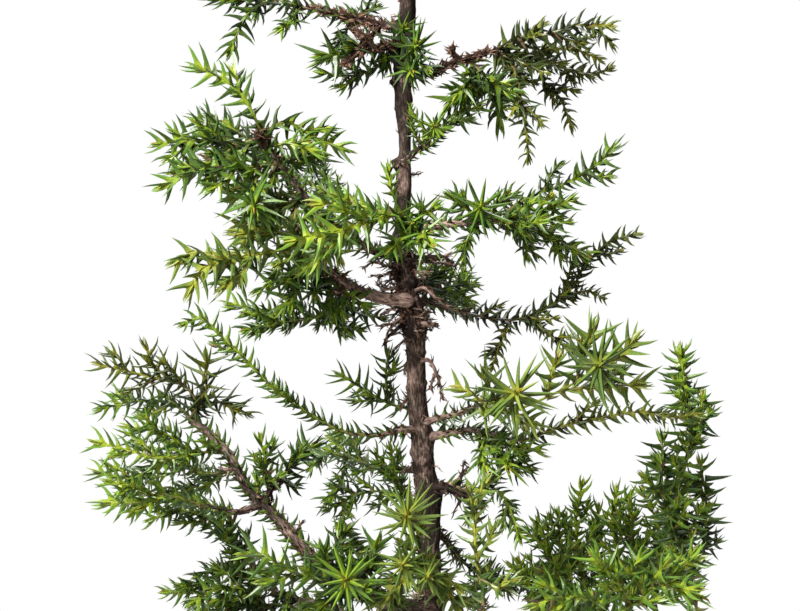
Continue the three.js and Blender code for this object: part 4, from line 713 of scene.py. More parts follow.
class Finish:
    """A material in the making."""

    def __init__(self, name):
        self.material = bpy.data.materials.new(name)
        self.material.use_nodes = True
        self.tree = self.material.node_tree
        self.tree.nodes.clear()

    def node(self, kind, settings=None, inputs=None):
        """Adds a node, sets its settings and then its sockets, by value or by link."""
        node = self.tree.nodes.new(kind)
        for name, value in (settings or {}).items():
            if name == "stops":
                self.set_stops(node.color_ramp, value)
            else:
                setattr(node, name, value)
        for name, value in (inputs or {}).items():
            if isinstance(value, Term):
                self.tree.links.new(value.socket, node.inputs[name])
            else:
                node.inputs[name].default_value = value
        return node

    @staticmethod
    def set_stops(colours, stops):
        """Gives a ramp its stops, as pairs of a place from 0 to 1 and a colour."""
        while len(colours.elements) < len(stops):
            colours.elements.new(1.0)
        for element, (place, colour) in zip(colours.elements, stops):
            element.position = place
            element.color = (*colour, 1.0)

    def mark(self, name, output="Fac"):
        """A number or vector that the mesh carries at its points."""
        node = self.node("ShaderNodeAttribute", {"attribute_name": name})
        return Term(self, node.outputs[output])

    def grain(self, scale, detail=3.0, where=None, stretch=(1, 1, 1)):
        """Noise from 0 to 1 with so many grains a metre, or a unit of the vector that it is given."""
        if where is None:
            where = Term(self, self.node("ShaderNodeTexCoord").outputs["Object"])
        moved = self.node("ShaderNodeMapping", inputs={"Vector": where, "Scale": stretch})
        node = self.node("ShaderNodeTexNoise", inputs={
            "Vector": Term(self, moved.outputs[0]), "Scale": scale, "Detail": detail})
        return Term(self, node.outputs[0])

    def fade(self, value, low, high):
        """0 up to low, 1 from high on, and a soft step between them."""
        node = self.node("ShaderNodeMapRange", {"interpolation_type": "SMOOTHSTEP"},
                         {"Value": value, "From Min": low, "From Max": high})
        return Term(self, node.outputs[0])

    def ramp(self, value, *stops):
        """A colour for a number, by stops of a place and a colour."""
        return Term(self, self.node("ShaderNodeValToRGB", {"stops": stops}, {0: value}).outputs[0])

    def mix(self, share, under, over):
        """Two colours laid over each other by a share."""
        under, over = [(*c, 1.0) if isinstance(c, tuple) else c for c in (under, over)]
        node = self.node("ShaderNodeMix", {"data_type": "RGBA"}, {0: share, 6: under, 7: over})
        return Term(self, node.outputs[2])

    def surface(self, colour, roughness, height, bump_depth, **constants):
        """Ends the network: colour, roughness and a bump of the given depth in metres."""
        bump = self.node("ShaderNodeBump", inputs={"Height": height, "Distance": bump_depth})
        shader = self.node("ShaderNodeBsdfPrincipled", inputs={
            "Base Color": colour, "Roughness": roughness, "Normal": Term(self, bump.outputs[0]),
            **constants})
        out = self.node("ShaderNodeOutputMaterial")
        self.tree.links.new(shader.outputs[0], out.inputs[0])
        return self.material


print("methods of a finish:", sum(callable(part) for part in vars(Finish).values()))

# %% [markdown]
# ## The green of the needles
# Old needles inside the tree are a dark blue-green, grown ones a clear green and the youngest
# yellow-green. Each needle is paler at its foot, has a faint pale streak along its flanks and a dry
# brown point. The streak is partly the needle's pale stomatal band and partly painted sheen. A
# picture could not follow thousands of tiny needles, so the finish reads the numbers that each
# needle carries: its age, its own tint, how far along it a point is, and how brown it is.

# %% Finishes of needles
BUD_ORANGE = (0.34, 0.2, 0.02)
# The pale of the flanks: the stomatal band with painted sheen on it
FLANK_BAND_AND_SHEEN = (0.17, 0.26, 0.09)
POINT_BROWN = (0.3, 0.2, 0.06)
AGE_BY_TINT = 0.34  # how far a needle's own tint moves its age, and how far a patch does
AGE_BY_PATCH = 0.3
BAND_AND_SHEEN_STRENGTH = 0.17
POINT_STRENGTH = 0.6
WAX_SHINE = 0.42
DEAD_STOPS = [(0.1, (0.018, 0.009, 0.006)), (0.42, (0.09, 0.036, 0.018)), (0.68, (0.2, 0.11, 0.068)),
              (0.95, (0.42, 0.34, 0.27))]
# Colours of an old, a grown and a young needle, and of a needle's foot
GREEN_COLOURS = {
    "dark": [(0.009, 0.02, 0.006), (0.055, 0.125, 0.01), (0.2, 0.32, 0.018), (0.2, 0.27, 0.015)],
    "olive": [(0.01, 0.014, 0.004), (0.06, 0.09, 0.009), (0.2, 0.24, 0.018), (0.2, 0.19, 0.018)],
    "bright": [(0.021, 0.047, 0.009), (0.085, 0.18, 0.013), (0.2, 0.33, 0.028), (0.27, 0.33, 0.022)],
    # The soft greens are washed pale and grey: partly the needles' own colour and partly painted sheen
    "soft": [(0.026, 0.055, 0.01), (0.095, 0.155, 0.022), (0.23, 0.29, 0.04), (0.26, 0.27, 0.03)],
}


def needle_finish(name, old, grown, young, base):
    """A waxy green: a ramp over age and tint, with pale flanks (stomatal band and painted sheen), foot, point
    and dead parts laid over it.
    """
    finish = Finish(name)
    reach, keel = finish.mark("reach"), finish.mark("keel")
    tint, brown = finish.mark("tint"), finish.mark("brown")
    patch = finish.grain(900.0, 2.0)
    age = finish.mark("age") + (tint - 0.5) * AGE_BY_TINT + (patch - 0.5) * AGE_BY_PATCH
    green = finish.ramp(age * 0.66, (0.03, old), (0.33, grown), (0.62, young), (0.86, BUD_ORANGE))
    # A pale streak down the middle of each face: partly the stomatal band and partly painted sheen
    band_and_sheen = (keel * (1.0 - keel)) * 4.0
    flank = finish.mix(band_and_sheen * finish.fade(reach, 0.02, 0.3) * BAND_AND_SHEEN_STRENGTH, green, FLANK_BAND_AND_SHEEN)
    foot = finish.mix((1.0 - finish.fade(reach, 0.0, 0.36)) * finish.fade(age, 0.05, 0.7), flank, base)
    point = finish.mix(finish.fade(reach, 0.9, 1.0) * POINT_STRENGTH, foot, POINT_BROWN)
    dead = finish.ramp(tint + (patch - 0.5) * 0.6, *DEAD_STOPS)
    colour = finish.mix(brown, point, dead)
    roughness = 0.27 + patch * 0.2 + brown * 0.4
    return finish.surface(colour, roughness, patch, 0.00012, **{"Specular IOR Level": WAX_SHINE})


GREENS = {kind: needle_finish(kind + "_needles", *colours) for kind, colours in GREEN_COLOURS.items()}
print("needle finishes:", list(GREENS))

# %% [markdown]
# ## Bark
# Cedar bark is grey-brown where the weather reaches it and red-brown where it has just split. It comes
# off in long fibres, so every pattern is stretched along the limb. The mesh carries a vector that says
# how far round and along the limb a point lies, in millimetres, and the noise is read from that.

# %% The finish of bark
WEATHERED_STOPS = [(0.42, (0.005, 0.003, 0.002)), (0.52, (0.04, 0.026, 0.019)), (0.66, (0.3, 0.22, 0.175))]
FRESH_STOPS = [(0.31, (0.09, 0.043, 0.032)), (0.6, (0.54, 0.37, 0.31))]
SMOOTH_STOPS = [(0.42, (0.008, 0.005, 0.003)), (0.52, (0.045, 0.029, 0.021)), (0.65, (0.23, 0.165, 0.128))]
# Near black of the painted shade in the cracks, which also darkens knots and darker stretches of bark
CRACK_SHADE_AND_DARK_BARK = (0.01, 0.006, 0.005)
BARK_SHINE = 0.18


def bark_finish(name):
    """Fibres and plates of grey and brown, redder on thin limbs, with painted shade darkening the cracks and
    the same near black darkening knots and darker bark.
    """
    finish = Finish(name)
    place, relief, youth = finish.mark("grain", "Vector"), finish.mark("relief"), finish.mark("youth")
    fibre = finish.grain(1.4, 4.0, place, (1, 1, 0.3))
    plate = finish.grain(0.35, 2.0, place, (1, 1, 0.5))
    blotch, ruddy = finish.grain(75.0, 3.0), finish.grain(190.0, 2.0)
    smooth = finish.mark("smooth")
    weathered = finish.ramp(fibre * 0.5 + plate * 0.2 + blotch * 0.3, *WEATHERED_STOPS)
    fresh = finish.ramp(fibre, *FRESH_STOPS)
    plain = finish.ramp(blotch * 0.5 + fibre * 0.25 + plate * 0.25, *SMOOTH_STOPS)
    rugged = finish.mix(youth + finish.fade(ruddy, 0.56, 0.68) * 0.5, weathered, fresh)
    whole = finish.mix(smooth * 0.9 * (1.0 - youth), rugged, plain)
    # Painted shade: where the relief share is low, in the cracks, the colour is mixed towards near black;
    # knots and darker stretches lower that share and so are darkened too
    crack = (1.0 - finish.fade(relief, 0.1, 0.5)) * (0.92 - smooth * 0.42)
    crack_shaded = finish.mix(crack, whole, CRACK_SHADE_AND_DARK_BARK)
    height = (fibre * 0.7 + finish.grain(5.0, 3.0, place, (1, 1, 0.3)) * 0.3) * (1.0 - smooth * 0.4)
    return finish.surface(crack_shaded, 0.95 - fibre * 0.2, height, 0.0006, **{"Specular IOR Level": BARK_SHINE})


BARK = bark_finish("bark")
print("bark finish:", BARK.name)

# %% [markdown]
# ## The trunk
# The trunk is a tube along its line, as a lathe cannot follow its bends. Its radius is the routes' own
# radius, drawn in at its waists and roughened by plates, fibres, lumps and knots. Relief that changes the
# outline is made in the mesh, and only the finest fibres are left to the finish.

# %% Knots, waists and shades of the bark
# Limbs that are thicker or thinner than their listed radius, as a share of it
THICKER = {"left_main": 1.3, "left_stub": 1.1, "right_high": 0.85, "right_middle": 1.25}
# How much redder some limbs are than the rest
RUDDY = {"left_stub": 0.9, "left_stub_knuckle": 0.95, "right_high": 0.4, "left_high": 0.4, "red_twig": 1,
         "debris_right": 0.8, "debris_knob": 0.8, "stub_fork": 0.7, "high_tangle": 0.5,
         "high_tangle_fork": 0.5, "right_low": 0.6, "right_front": 0.6, "right_middle": 0.5, "left_long": 0.7}
# Knots and scars: step down the view, turn from the right-hand side in degrees, mm high, mm wide, how
# dark and how red
KNOTS = [
    [22, 240, 1.1, 3.0, 0, 0], [60, 182, 1.9, 1.8, 0, 0.2], [82, 185, 2.4, 1.8, 0.2, 0.2],
    [82, 300, 1.3, 2.0, 0, 0.9], [100, 330, 0.9, 3.0, 0.2, 0], [130, 60, 1.0, 3.0, 0, 0],
    [162, 184, 3.6, 1.7, 1.4, 0], [168, 200, 1.8, 2.0, 1.2, 0], [177, 262, 1.2, 3.2, 0, 0.9],
    [188, 290, 1.1, 3.0, 0, 0.8], [192, 200, 1.5, 2.2, 0, 0.7], [256, 250, 1.5, 4.0, 0.1, 0.3],
    [266, 200, 1.8, 2.0, 0, 0], [282, 320, 1.9, 4.0, 0.2, 0], [318, 10, 2.0, 3.5, 0, 0.3],
    [327, 285, 1.9, 4.2, 0.5, 0.2], [334, 235, 1.6, 2.6, 0.5, 0], [366, 175, 1.5, 1.8, 0.1, 0.2],
    [372, 250, 1.1, 2.0, 0, 0.6], [382, 240, 1.1, 2.2, 0, 0.9], [438, 20, 1.6, 3.0, 0, 0.2],
    [430, 290, 1.4, 2.4, 0, 0], [452, 200, 1.5, 2.2, 0.2, 0.5], [470, 100, 1.3, 4.0, 0, 0],
    [492, 330, 1.8, 4.5, 0.7, 0], [505, 240, 1.3, 4.0, 0.5, 0], [560, 300, 1.0, 4.0, 0, 0],
    [640, 120, 1.6, 5.0, 0, 0],
]
# The trunk is drawn in and let out again: step down the view and share of the radius
WAISTS = [[-200, 1], [115, 0.95], [132, 0.82], [162, 0.82], [178, 0.96], [205, 0.92], [255, 0.8],
          [285, 0.84], [302, 0.96], [324, 0.94], [340, 0.8], [385, 0.88], [440, 0.92], [498, 1], [550, 0.95],
          [620, 1], [760, 1]]
# How much darker the bark is, by step down the view: partly its own darker colour and partly painted shade
DARKER = [[-100, 0.3], [0, 0.6], [215, 0.6], [250, 0.42], [335, 0.2], [370, 0.02], [450, 0.02], [478, 0.2],
          [500, 0.55], [535, 0.45], [600, 0.1]]
# How smooth the bark is, by step down the view
SMOOTH = [[-100, 0.5], [0, 0.8], [215, 0.8], [250, 0.2], [335, 0], [352, 0.6], [470, 0.5], [500, 0.2]]
SHAGGY = (338, 246)  # steps down the view between which the trunk is shaggy
print("knots:", len(KNOTS), "redder limbs:", len(RUDDY))

# %% The routes of the stumps
# They are too small for the solids: first and last radius, then the route
SNAGS = {
  "left_stub_knuckle": [3.2, 2.6, "413 302 -7, 404 300 -9, 392 299 -9, 380 297.5 -8.6, 366 293 -6.6"],
  "pale_twig": [0.9, 0.4, "404 262 -2, 388 266 -7, 374 262 -9, 362 269 -8"],
  "spike_low": [0.6, 0.2, "396 276 -4, 388 282 -7, 381 287 -8"],
  "spike_high": [0.6, 0.2, "396 270 -4, 388 273 -8, 379 277 -9"],
  "debris_right": [0.9, 0.5, "412 292 -2, 424 288 -7, 436 298 -9, 448 308 -8"],
  "debris_knob": [1.5, 1.1, "414 330 -3, 424 324 -7, 434 325 -8"],
  "debris_low": [1.0, 0.6, "405 322 -4, 396 330 -7, 387 338 -7, 384 345 -6"],
  "red_twig": [0.6, 0.35, "408 308 -4, 400 318 -9, 388 325 -10, 376 326 -9"],
  "knob_upper": [1.2, 0.8, "403 84 0, 396 82 -3, 391 80 -4"],
  "curl_right": [1.1, 0.6, "406 268 -3, 414 258 -6, 426 257 -8, 444 257 -8, 456 267 -7"],
  "high_tangle": [1.0, 0.5, "404 42 1, 390 46 -10, 370 49 -18, 355 53 -20, 346 66 -20"],
  "high_tangle_fork": [0.7, 0.35, "372 49 -17, 364 36 -20, 352 30 -20"],
  "stub_fork": [1.7, 1.0, "368 294 -8, 350 286 -15, 334 274 -21, 318 262 -23, 306 257 -21"],
  "dead_tuft": [1.8, 1.2, "266 143 -58, 262 136 -60, 256 134 -62"],
  "knee_limb": [1.7, 1.1, "430 488 -3, 446 487 -8, 466 496 -10, 486 507 -10"],
  "knee_spike": [0.8, 0.3, "458 488 -8, 462 474 -10, 464 461 -10"],
  "knee_spike_low": [0.8, 0.3, "462 492 -8, 458 504 -10, 453 513 -10"],
  "main_spike": [0.8, 0.3, "292 537 -12, 299 527 -15, 303 520 -16"],
  "main_knot": [1.5, 1.0, "262 503 -11, 270 492 -13, 277 476 -14"],
  "main_spur": [0.9, 0.4, "236 468 -14, 226 470 -17, 218 467 -18"],
  "curl_left": [0.7, 0.35, "406 298 -5, 396 288 -10, 384 290 -12, 376 282 -11"],
}
# Stumps that are darker or paler than the trunk beside them, and by how much
DIM = {"pale_twig": -0.4, "spike_low": -0.3, "spike_high": -0.3, "knee_limb": 0.5, "knee_spike": 0.6,
       "knee_spike_low": 0.6, "curl_right": 0.3, "debris_low": 0.3}
print("stumps:", len(SNAGS))

# %% A tube of bark
# Plates, fibres and crumbs: mm across, mm along, mm high, and their weight in the share that is read
RELIEF = [(2.6, 6.0, 0.75, 0.35), (1.0, 3.4, 0.55, 0.5), (0.6, 1.0, 0.34, 0.15)]
RIDGE_LEVEL = 0.7  # the height of a ridge that stands level with the listed radius
FULL_RELIEF_RADIUS = 5  # mm: thinner limbs have less relief, down to the share of the next line
LEAST_RELIEF = 0.12
SMOOTHING = 0.6  # share of the relief that the smoothest bark has lost


def bark_relief(place, seed):
    """Heights in mm and a share from crack to plate: three noises, each stretched along the limb."""
    height, share = 0, 0
    for layer, (across, along, high, weight) in enumerate(RELIEF):
        rough = noise(place / [across, across, along], seed + layer)
        ridge = 1 - np.abs(2 * rough - 1)
        height = height + high * (ridge - RIDGE_LEVEL)
        share = share + weight * ridge
    return height, share


def limb_skin(line, radius, sides, seed, youth, knots=(), darker=0, smooth=0):
    """A tube of bark: centre + (radius + relief + knots) * (side * cos + across * sin), where a knot
    adds its height * exp(-(distance / width) ** 2), and smooth bark has less relief. The finish reads
    each point's place on the bark in mm: radius * cos, radius * sin, distance along."""
    angle, facing = facings(line, sides)
    radius = np.repeat(radius[:, None], sides, axis=1)
    run = np.broadcast_to(line.run[:, None], radius.shape)
    place = np.stack([radius * np.cos(angle), radius * np.sin(angle), run], axis=-1)
    height, share = bark_relief(place, seed)
    share = share - darker
    strength = np.clip(radius / FULL_RELIEF_RADIUS, LEAST_RELIEF, 1) * (1 - SMOOTHING * smooth)
    reach = radius + height * strength
    youth, smooth = np.broadcast_to(youth, share.shape), np.broadcast_to(smooth, share.shape)
    for down, turn, high, wide, dark, red in knots:
        level = EYE_HEIGHT + (VIEW_EYE_LINE - down) * VIEW_SCALE
        aim = np.array([np.cos(np.radians(turn)), np.sin(np.radians(turn)), 0])
        gap = np.hypot((line.points[:, 2] - level)[:, None], reach * np.arccos(
            np.clip(facing @ aim, -1, 1)))
        near = np.exp(-(gap / wide) ** 2)
        reach = reach + high * near
        share = share - dark * near ** 0.5
        smooth = smooth * (1 - np.clip(dark, 0, 1) * near)
        youth = youth + red * near ** 0.5
    rings = line.points[:, None] + reach[..., None] * facing
    return closed_rings(rings, grain=place, relief=share, youth=youth, smooth=smooth)


print("layers of relief:", len(RELIEF))

# %% Trunk, roots, limbs and stumps
TRUNK_SIDES = 56
THICK_SIDES = 28  # for limbs over the thick radius, and then for the others
THIN_SIDES = 16
THICK_RADIUS = 3  # mm
LIMB_STEP = 1.1
TRUNK_SEED = 3
LIMB_SEED = 10
TRUNK_YOUTH = 0.05
COLLAR = 0.5  # how much thicker a limb is where it leaves the trunk
COLLAR_START = 3.5  # mm from a limb's start to where its collar begins to die away
COLLAR_REACH = 5.0  # mm over which it dies away
BLUNT_START = 0.05  # a stump's rounded end starts this small, as a share of its radius
RED = 0.5  # limbs at least this red take no shade from the trunk beside them
VERY_RED = 0.7  # and from here on they are smoother
LUMPS = 60  # over the whole trunk, and then as many more where it is shaggy
SHAGGY_LUMPS = 60
LUMP_RANGE = (-100, 640)  # steps down the view
# Limits of a lump: turn in degrees, mm high, mm wide, how dark and how red
LUMP_LIMITS = [(0, 360), (0.3, 1.5), (0.8, 1.9), (-0.3, 0.6), (-0.3, 0.6)]

wood_draw = np.random.default_rng(17)
trunk_down = VIEW_EYE_LINE - (trunk.points[:, 2] - EYE_HEIGHT) / VIEW_SCALE
waist = np.interp(trunk_down, *np.array(WAISTS).T)
trunk_radius = waist * np.interp(trunk.place, np.arange(len(TRUNK)), [place[3] for place in TRUNK])
lump_down = np.append(wood_draw.uniform(*LUMP_RANGE, LUMPS),
                      wood_draw.uniform(SHAGGY[1], SHAGGY[0], SHAGGY_LUMPS))
lumps = np.column_stack([lump_down] + [wood_draw.uniform(*limits, len(lump_down)) for limits in LUMP_LIMITS])
trunk_darker = np.interp(trunk_down, *np.array(DARKER).T)[:, None]
trunk_smooth = np.interp(trunk_down, *np.array(SMOOTH).T)[:, None]
wood_skins = [limb_skin(trunk, trunk_radius, TRUNK_SIDES, TRUNK_SEED, TRUNK_YOUTH, KNOTS + lumps.tolist(),
                        trunk_darker, trunk_smooth)]
limbs = {}
for number, (name, (first, last, text)) in enumerate({**LIMBS, **SNAGS}.items()):
    route = route_places(text)
    line = Line(sighted(route), LIMB_STEP)
    radius = THICKER.get(name, 1) * (first + (last - first) * line.run / line.length)
    limbs[name] = (line, radius)
    if name in SNAGS:
        blunt = np.clip(line.run / first, BLUNT_START, 1)
        swollen = radius * np.sqrt(blunt * (2 - blunt))
    else:
        collar = 0 if name.startswith("root") else COLLAR
        swollen = radius * (1 + collar * np.exp(-np.maximum(line.run - COLLAR_START, 0) / COLLAR_REACH))
    red = RUDDY.get(name, 0)
    thick = first > THICK_RADIUS
    youth = RUDDY.get(name, np.clip(0.8 - radius[:, None] / 3, 0.1, 0.6))
    # A limb starts as dark as the trunk beside it (the DARKER table: partly darker bark, partly painted
    # shade), plus its own paler or darker colour from DIM
    shade = DIM.get(name, 0) + (0 if red >= RED else np.interp(route[0, 1], *np.array(DARKER).T))
    even = 0.6 if red >= VERY_RED else 0.4 if thick else 0
    wood_skins.append(limb_skin(line, swollen, THICK_SIDES if thick else THIN_SIDES, LIMB_SEED + number,
                                youth, darker=shade, smooth=even))
WOOD_LINES = np.vstack([trunk.points] + [limbs[name][0].points for name in LIMBS])
print("limbs and stumps:", len(limbs), "points of their lines:", len(WOOD_LINES))

# %% Dead twigs on the trunk
DEAD_TWIGS = 34  # over the whole trunk, and then those where it is shaggy
SHAGGY_TWIGS = 46
TWIG_RANGE = (-60, 600)  # steps down the view
TWIG_LENGTH = (2.5, 6)  # mm
SHAGGY_LENGTH = (4, 15)
TWIG_RADIUS = (0.55, 0.25)  # mm, at the foot and at the tip
TWIG_SIDES = 6
TWIG_SEED = 90
TWIG_WANDER = np.array([[0.2], [0.7], [1.1]])  # how far each step is turned from the way out


def dead_twig(draw, start, out, length):
    """Four places that wander off from a start: each step is a third of the length, the way out turned
    by a random vector that grows from step to step."""
    steps = unit(out + TWIG_WANDER * draw.normal(0, 0.6, (3, 3)))
    return np.vstack([start, start + np.cumsum(steps * length / 3, axis=0)])


twigs = []
for number in range(DEAD_TWIGS + SHAGGY_TWIGS):
    shaggy = number >= DEAD_TWIGS
    down = wood_draw.uniform(SHAGGY[1], SHAGGY[0]) if shaggy else wood_draw.uniform(*TWIG_RANGE)
    start = trunk.points[np.argmin(np.abs(trunk_down - down))]
    turn = wood_draw.uniform(0, 2 * np.pi)
    out = np.array([np.cos(turn), np.sin(turn), wood_draw.uniform(-0.5, 0.7)])
    length = trunk_radius.mean() + wood_draw.uniform(*(SHAGGY_LENGTH if shaggy else TWIG_LENGTH))
    line = Line(dead_twig(wood_draw, start, out, length), LIMB_STEP)
    radius = np.linspace(*TWIG_RADIUS, len(line.run))
    twigs.append((line, radius))
    wood_skins.append(limb_skin(line, radius, TWIG_SIDES, TWIG_SEED + number, wood_draw.uniform(0.1, 0.9)))
piece("bark", joined(wood_skins), BARK, "bark", "wood", crease=1.2)
print("triangles of bark:", triangle_count["bark"])

# %% [markdown]
# ## What hangs on old wood
# Cedar keeps its dead needles for years. They stand on the bare limbs as brown thorns, and loose
# fibres of bark lift off the trunk, most of all around the old branch stubs halfway up. Both are awls
# set at random places. The draws are seeded, so the same ones come back each time.

# %% Dead needles and lifting flakes
FLAKES = 1300
SHAGGY_THORNS = 260
TRUNK_THORNS = 420  # before those on smooth bark are left out
FLAKE_SHARES = (0.03, 0.93)  # shares of the trunk's length between which they stand
THORN_SHARES = (0.3, 0.95)
SMOOTHNESS_BARS = 1.15
DEAD_PER_MM = 1.3
THORNY = {"right_high": 4, "right_high_spur": 5, "left_high": 5, "left_high_spur": 4, "left_long": 1.6,
          "dead_tuft": 10, "stub_fork": 2.5, "high_tangle": 5, "high_tangle_fork": 5, "knee_limb": 3,
          "main_knot": 3}
# Limits of the brown awls: reach in mm, lean, thickness in mm, curl and tint
FLAKE = {"reach": (1.5, 6.0), "lean": (0.1, 0.8), "thick": (0.15, 0.45), "curl": (0.3, 2.2), "tint": (0.4, 1)}
TRUNK_THORN = {"reach": (1.2, 5.0), "lean": (0.7, 1.5), "thick": (0.3, 0.7)}
LIMB_THORN = {"reach": (1.0, 4.2), "lean": (0.7, 1.5), "thick": (0.3, 0.65)}
LONG_THORN = {"reach": (2.0, 5.0), "lean": (0.7, 1.5), "thick": (0.5, 1.0), "tint": (0.1, 0.68)}
TWIG_THORN = {"reach": (1.0, 4.0), "lean": (0.5, 1.4), "thick": (0.15, 0.4), "curl": (0.3, 2.2),
              "tint": (0.2, 1)}
DARK_TINT = {"tint": (0, 0.3)}
BROWN_WIDTH = (0.22, 0.5)  # mm
BROWN_FOOT = (0.8, 2.4)  # mm


def scattered(line, radius, run, turn):
    """Where awls stand on a limb: the point inside it, the directions along and out, the radius."""
    side, across = line.at(run, line.side), line.at(run, line.across)
    out = np.cos(turn)[:, None] * side + np.sin(turn)[:, None] * across
    return line.at(run, line.points), line.at(run, line.along), out, np.interp(run, line.run, radius)


def brown_awls(draw, line, radius, run, reach, lean, thick, curl=(0.2, 1.1), tint=(0, 0.85)):
    """Brown awls on a limb, each turned, sized and coloured at random between the limits given."""
    count = len(run)
    root, along, out, stem = scattered(line, radius, run, draw.uniform(0, 2 * np.pi, count))
    along = along * draw.choice([-1, 1], count, p=[0.35, 0.65])[:, None]
    return awls(root, along, out, stem / 1.1, draw.uniform(*reach, count), draw.uniform(*lean, count),
                draw.uniform(*curl, count), draw.uniform(*thick, count),
                draw.uniform(*BROWN_WIDTH, count), draw.uniform(*BROWN_FOOT, count),
                age=np.zeros(count), tint=draw.uniform(*tint, count), brown=np.ones(count))


def rough_places(draw, first, last, count):
    """Distances along the trunk between two shares of it, fewer where its bark is smooth: a place
    stays when a draw from 0 to 1 is over SMOOTHNESS_BARS * smoothness there."""
    run = draw.uniform(first * trunk.length, last * trunk.length, count)
    bare = SMOOTHNESS_BARS * np.interp(run, trunk.run, trunk_smooth[:, 0])
    return run[draw.uniform(0, 1, count) > bare]


brown_draw = np.random.default_rng(11)
shaggy_run = np.sort(np.interp(SHAGGY, trunk_down[::-1], trunk.run[::-1]))
flake_run = np.append(rough_places(brown_draw, *FLAKE_SHARES, FLAKES // 2),
                      brown_draw.uniform(*shaggy_run, FLAKES // 2))
flakes = brown_awls(brown_draw, trunk, trunk_radius, flake_run, **FLAKE)
thorn_run = np.append(brown_draw.uniform(*shaggy_run, SHAGGY_THORNS),
                      rough_places(brown_draw, *THORN_SHARES, TRUNK_THORNS))
dead = [brown_awls(brown_draw, trunk, trunk_radius, thorn_run, **TRUNK_THORN)]
for name, (line, radius) in limbs.items():
    if not name.startswith("root"):
        count = int(line.length * THORNY.get(name, DEAD_PER_MM))
        run = brown_draw.uniform(0.1 * line.length, line.length, count)
        kind = LONG_THORN if name in THORNY else LIMB_THORN
        if DIM.get(name, 0) > 0:
            kind = kind | DARK_TINT
        dead.append(brown_awls(brown_draw, line, radius, run, **kind))
for line, radius in twigs:
    run = brown_draw.uniform(0.2 * line.length, line.length, int(line.length * DEAD_PER_MM))
    dead.append(brown_awls(brown_draw, line, radius, run, **TWIG_THORN))
piece("bark_flakes", flakes, GREENS["dark"], "bark")
piece("dead_needles", joined(dead), GREENS["dark"], "bark")
print("flakes:", len(flake_run), "triangles of dead needles:", triangle_count["dead_needles"])

# %% [markdown]
# ## The shoots
# A shoot is a thin green stem set round with needles in five rows. Each next needle stands a golden
# angle of 137.5 degrees further round, as buds grow on the real plant, and that rule alone makes the
# rows. Needles lean forward, more so at the tip, where the youngest close up into a bud. Side shoots
# follow the same rule on a larger scale. Hair particles could carry the needles, but they have no
# thickness of their own, so real meshes are used.

# %% The looks of the sprays
def look(green, twiglets, needles, tone=0.0, swell=0.34, lean=0.0, star=0.0, slim=1.0):
    """A spray's look: its kind of green, twiglets for each side shoot, needle length as a share of the
    listed one, how far its needles' age is moved, which makes it paler or darker (partly its own colour
    and partly painted light and shade), how much its needles grow from end to end, how much further they
    lean out in radians, how much younger still its stars seem, and how thick its needles are as a share
    of the usual."""
    return {"green": green, "twiglets": twiglets, "needles": needles, "tone": tone, "swell": swell,
            "lean": lean, "star": star, "slim": slim}


PLAIN_LOOK = look("dark", 0.8, 1.0)
# The fourth value of a look, its tone, moves the needles' age: partly a spray's own colour and partly painted
# light and shade
LOOKS = {
    "right_high_crest": look("olive", 0.2, 1.1, swell=-0.5),
    "right_high_middle": look("olive", 0.5, 1.0, swell=-0.5),
    "right_high_inner": look("dark", 1.2, 1.4, 0.06, lean=-0.1),
    "right_upper": look("dark", 0.2, 0.95, 0.0, star=0.34),
    "right_middle_star": look("dark", 1.4, 1.0),
    "right_middle_long": look("dark", 0.3, 0.95, 0.06, swell=1.1),
    "right_middle_cluster": look("dark", 1.8, 1.0, 0.12),
    "right_arch": look("olive", 0.6, 0.9, -0.05, swell=-0.2),
    "right_back_cluster": look("dark", 1.8, 0.9),
    "front_high_star": look("dark", 0, 1.0, -0.1),
    "front_star_left": look("soft", 0.3, 1.3, -0.1),
    "front_star_right": look("soft", 0.2, 1.22, -0.08),
    "right_low_long": look("olive", 0.0, 0.8, -0.12, swell=-0.3),
    "right_low_star": look("dark", 1.6, 1.05, 0.08, slim=0.85),
    "right_hanging": look("dark", 0.6, 0.85),
    "right_edge_rise": look("dark", 1.0, 1.16, 0.05, lean=0.3),
    "right_back_fan": look("dark", 1.6, 0.95, 0.18),
    "right_front_bottom": look("bright", 1.5, 1.15, 0.0),
    "front_right_rise": look("soft", 0.15, 0.9, -0.1),
    "front_low_star": look("soft", 1.2, 1.15, -0.02),
    "left_front_bottom": look("dark", 0.8, 1.28, 0.02, star=0.18),
    "left_main_top": look("dark", 1.8, 1.0),
    "left_high_long": look("dark", 0.6, 1.0, -0.1),
    "left_high_star": look("dark", 0.6, 1.05, -0.14),
    "left_high_back": look("dark", 1.2, 0.9, -0.16),
    "left_front_crest": look("bright", 0.1, 1.15, -0.12),
    "left_front_tip": look("dark", 1.2, 1.15, 0.0),
    "left_front_lower": look("bright", 1.2, 1.15, -0.1),
    "left_front_star": look("soft", 1.4, 1.2, -0.06),
    "front_sweep": look("bright", 0.9, 1.2, 0.0),
    "left_front_far": look("soft", 0.9, 1.2, -0.06),
    "left_stub_star": look("dark", 1.2, 1.05),
    "left_stub_hanging": look("dark", 0.9, 0.95),
    "left_long": look("dark", 0.0, 0.9, 0.05, swell=0.1),
    "left_inner": look("dark", 0.5, 1.3, slim=0.75),
    "left_small": look("bright", 0, 0.75),
    "left_top_shoot": look("olive", 0.2, 1.3, -0.08, swell=0.1, slim=0.72),
    "left_west": look("bright", 1.0, 1.05, -0.12, slim=0.82),
    "left_bright": look("bright", 1.1, 1.05, -0.1, slim=0.82),
    "left_mass": look("dark", 1.5, 1.0, 0.0, slim=0.82),
    "left_tip_low": look("bright", 1.0, 1.0),
    "left_rise": look("dark", 1.6, 1.0),
    "left_back_fan": look("dark", 1.6, 0.95),
    "left_back_bottom": look("dark", 1.6, 1.0, -0.08),
    "left_dark": look("dark", 1.2, 0.9, 0.02, slim=0.8),
    "back_upper": look("dark", 1.0, 0.9),
    "back_middle": look("dark", 0.7, 0.9, 0.1),
}
print("looks:", len(LOOKS))

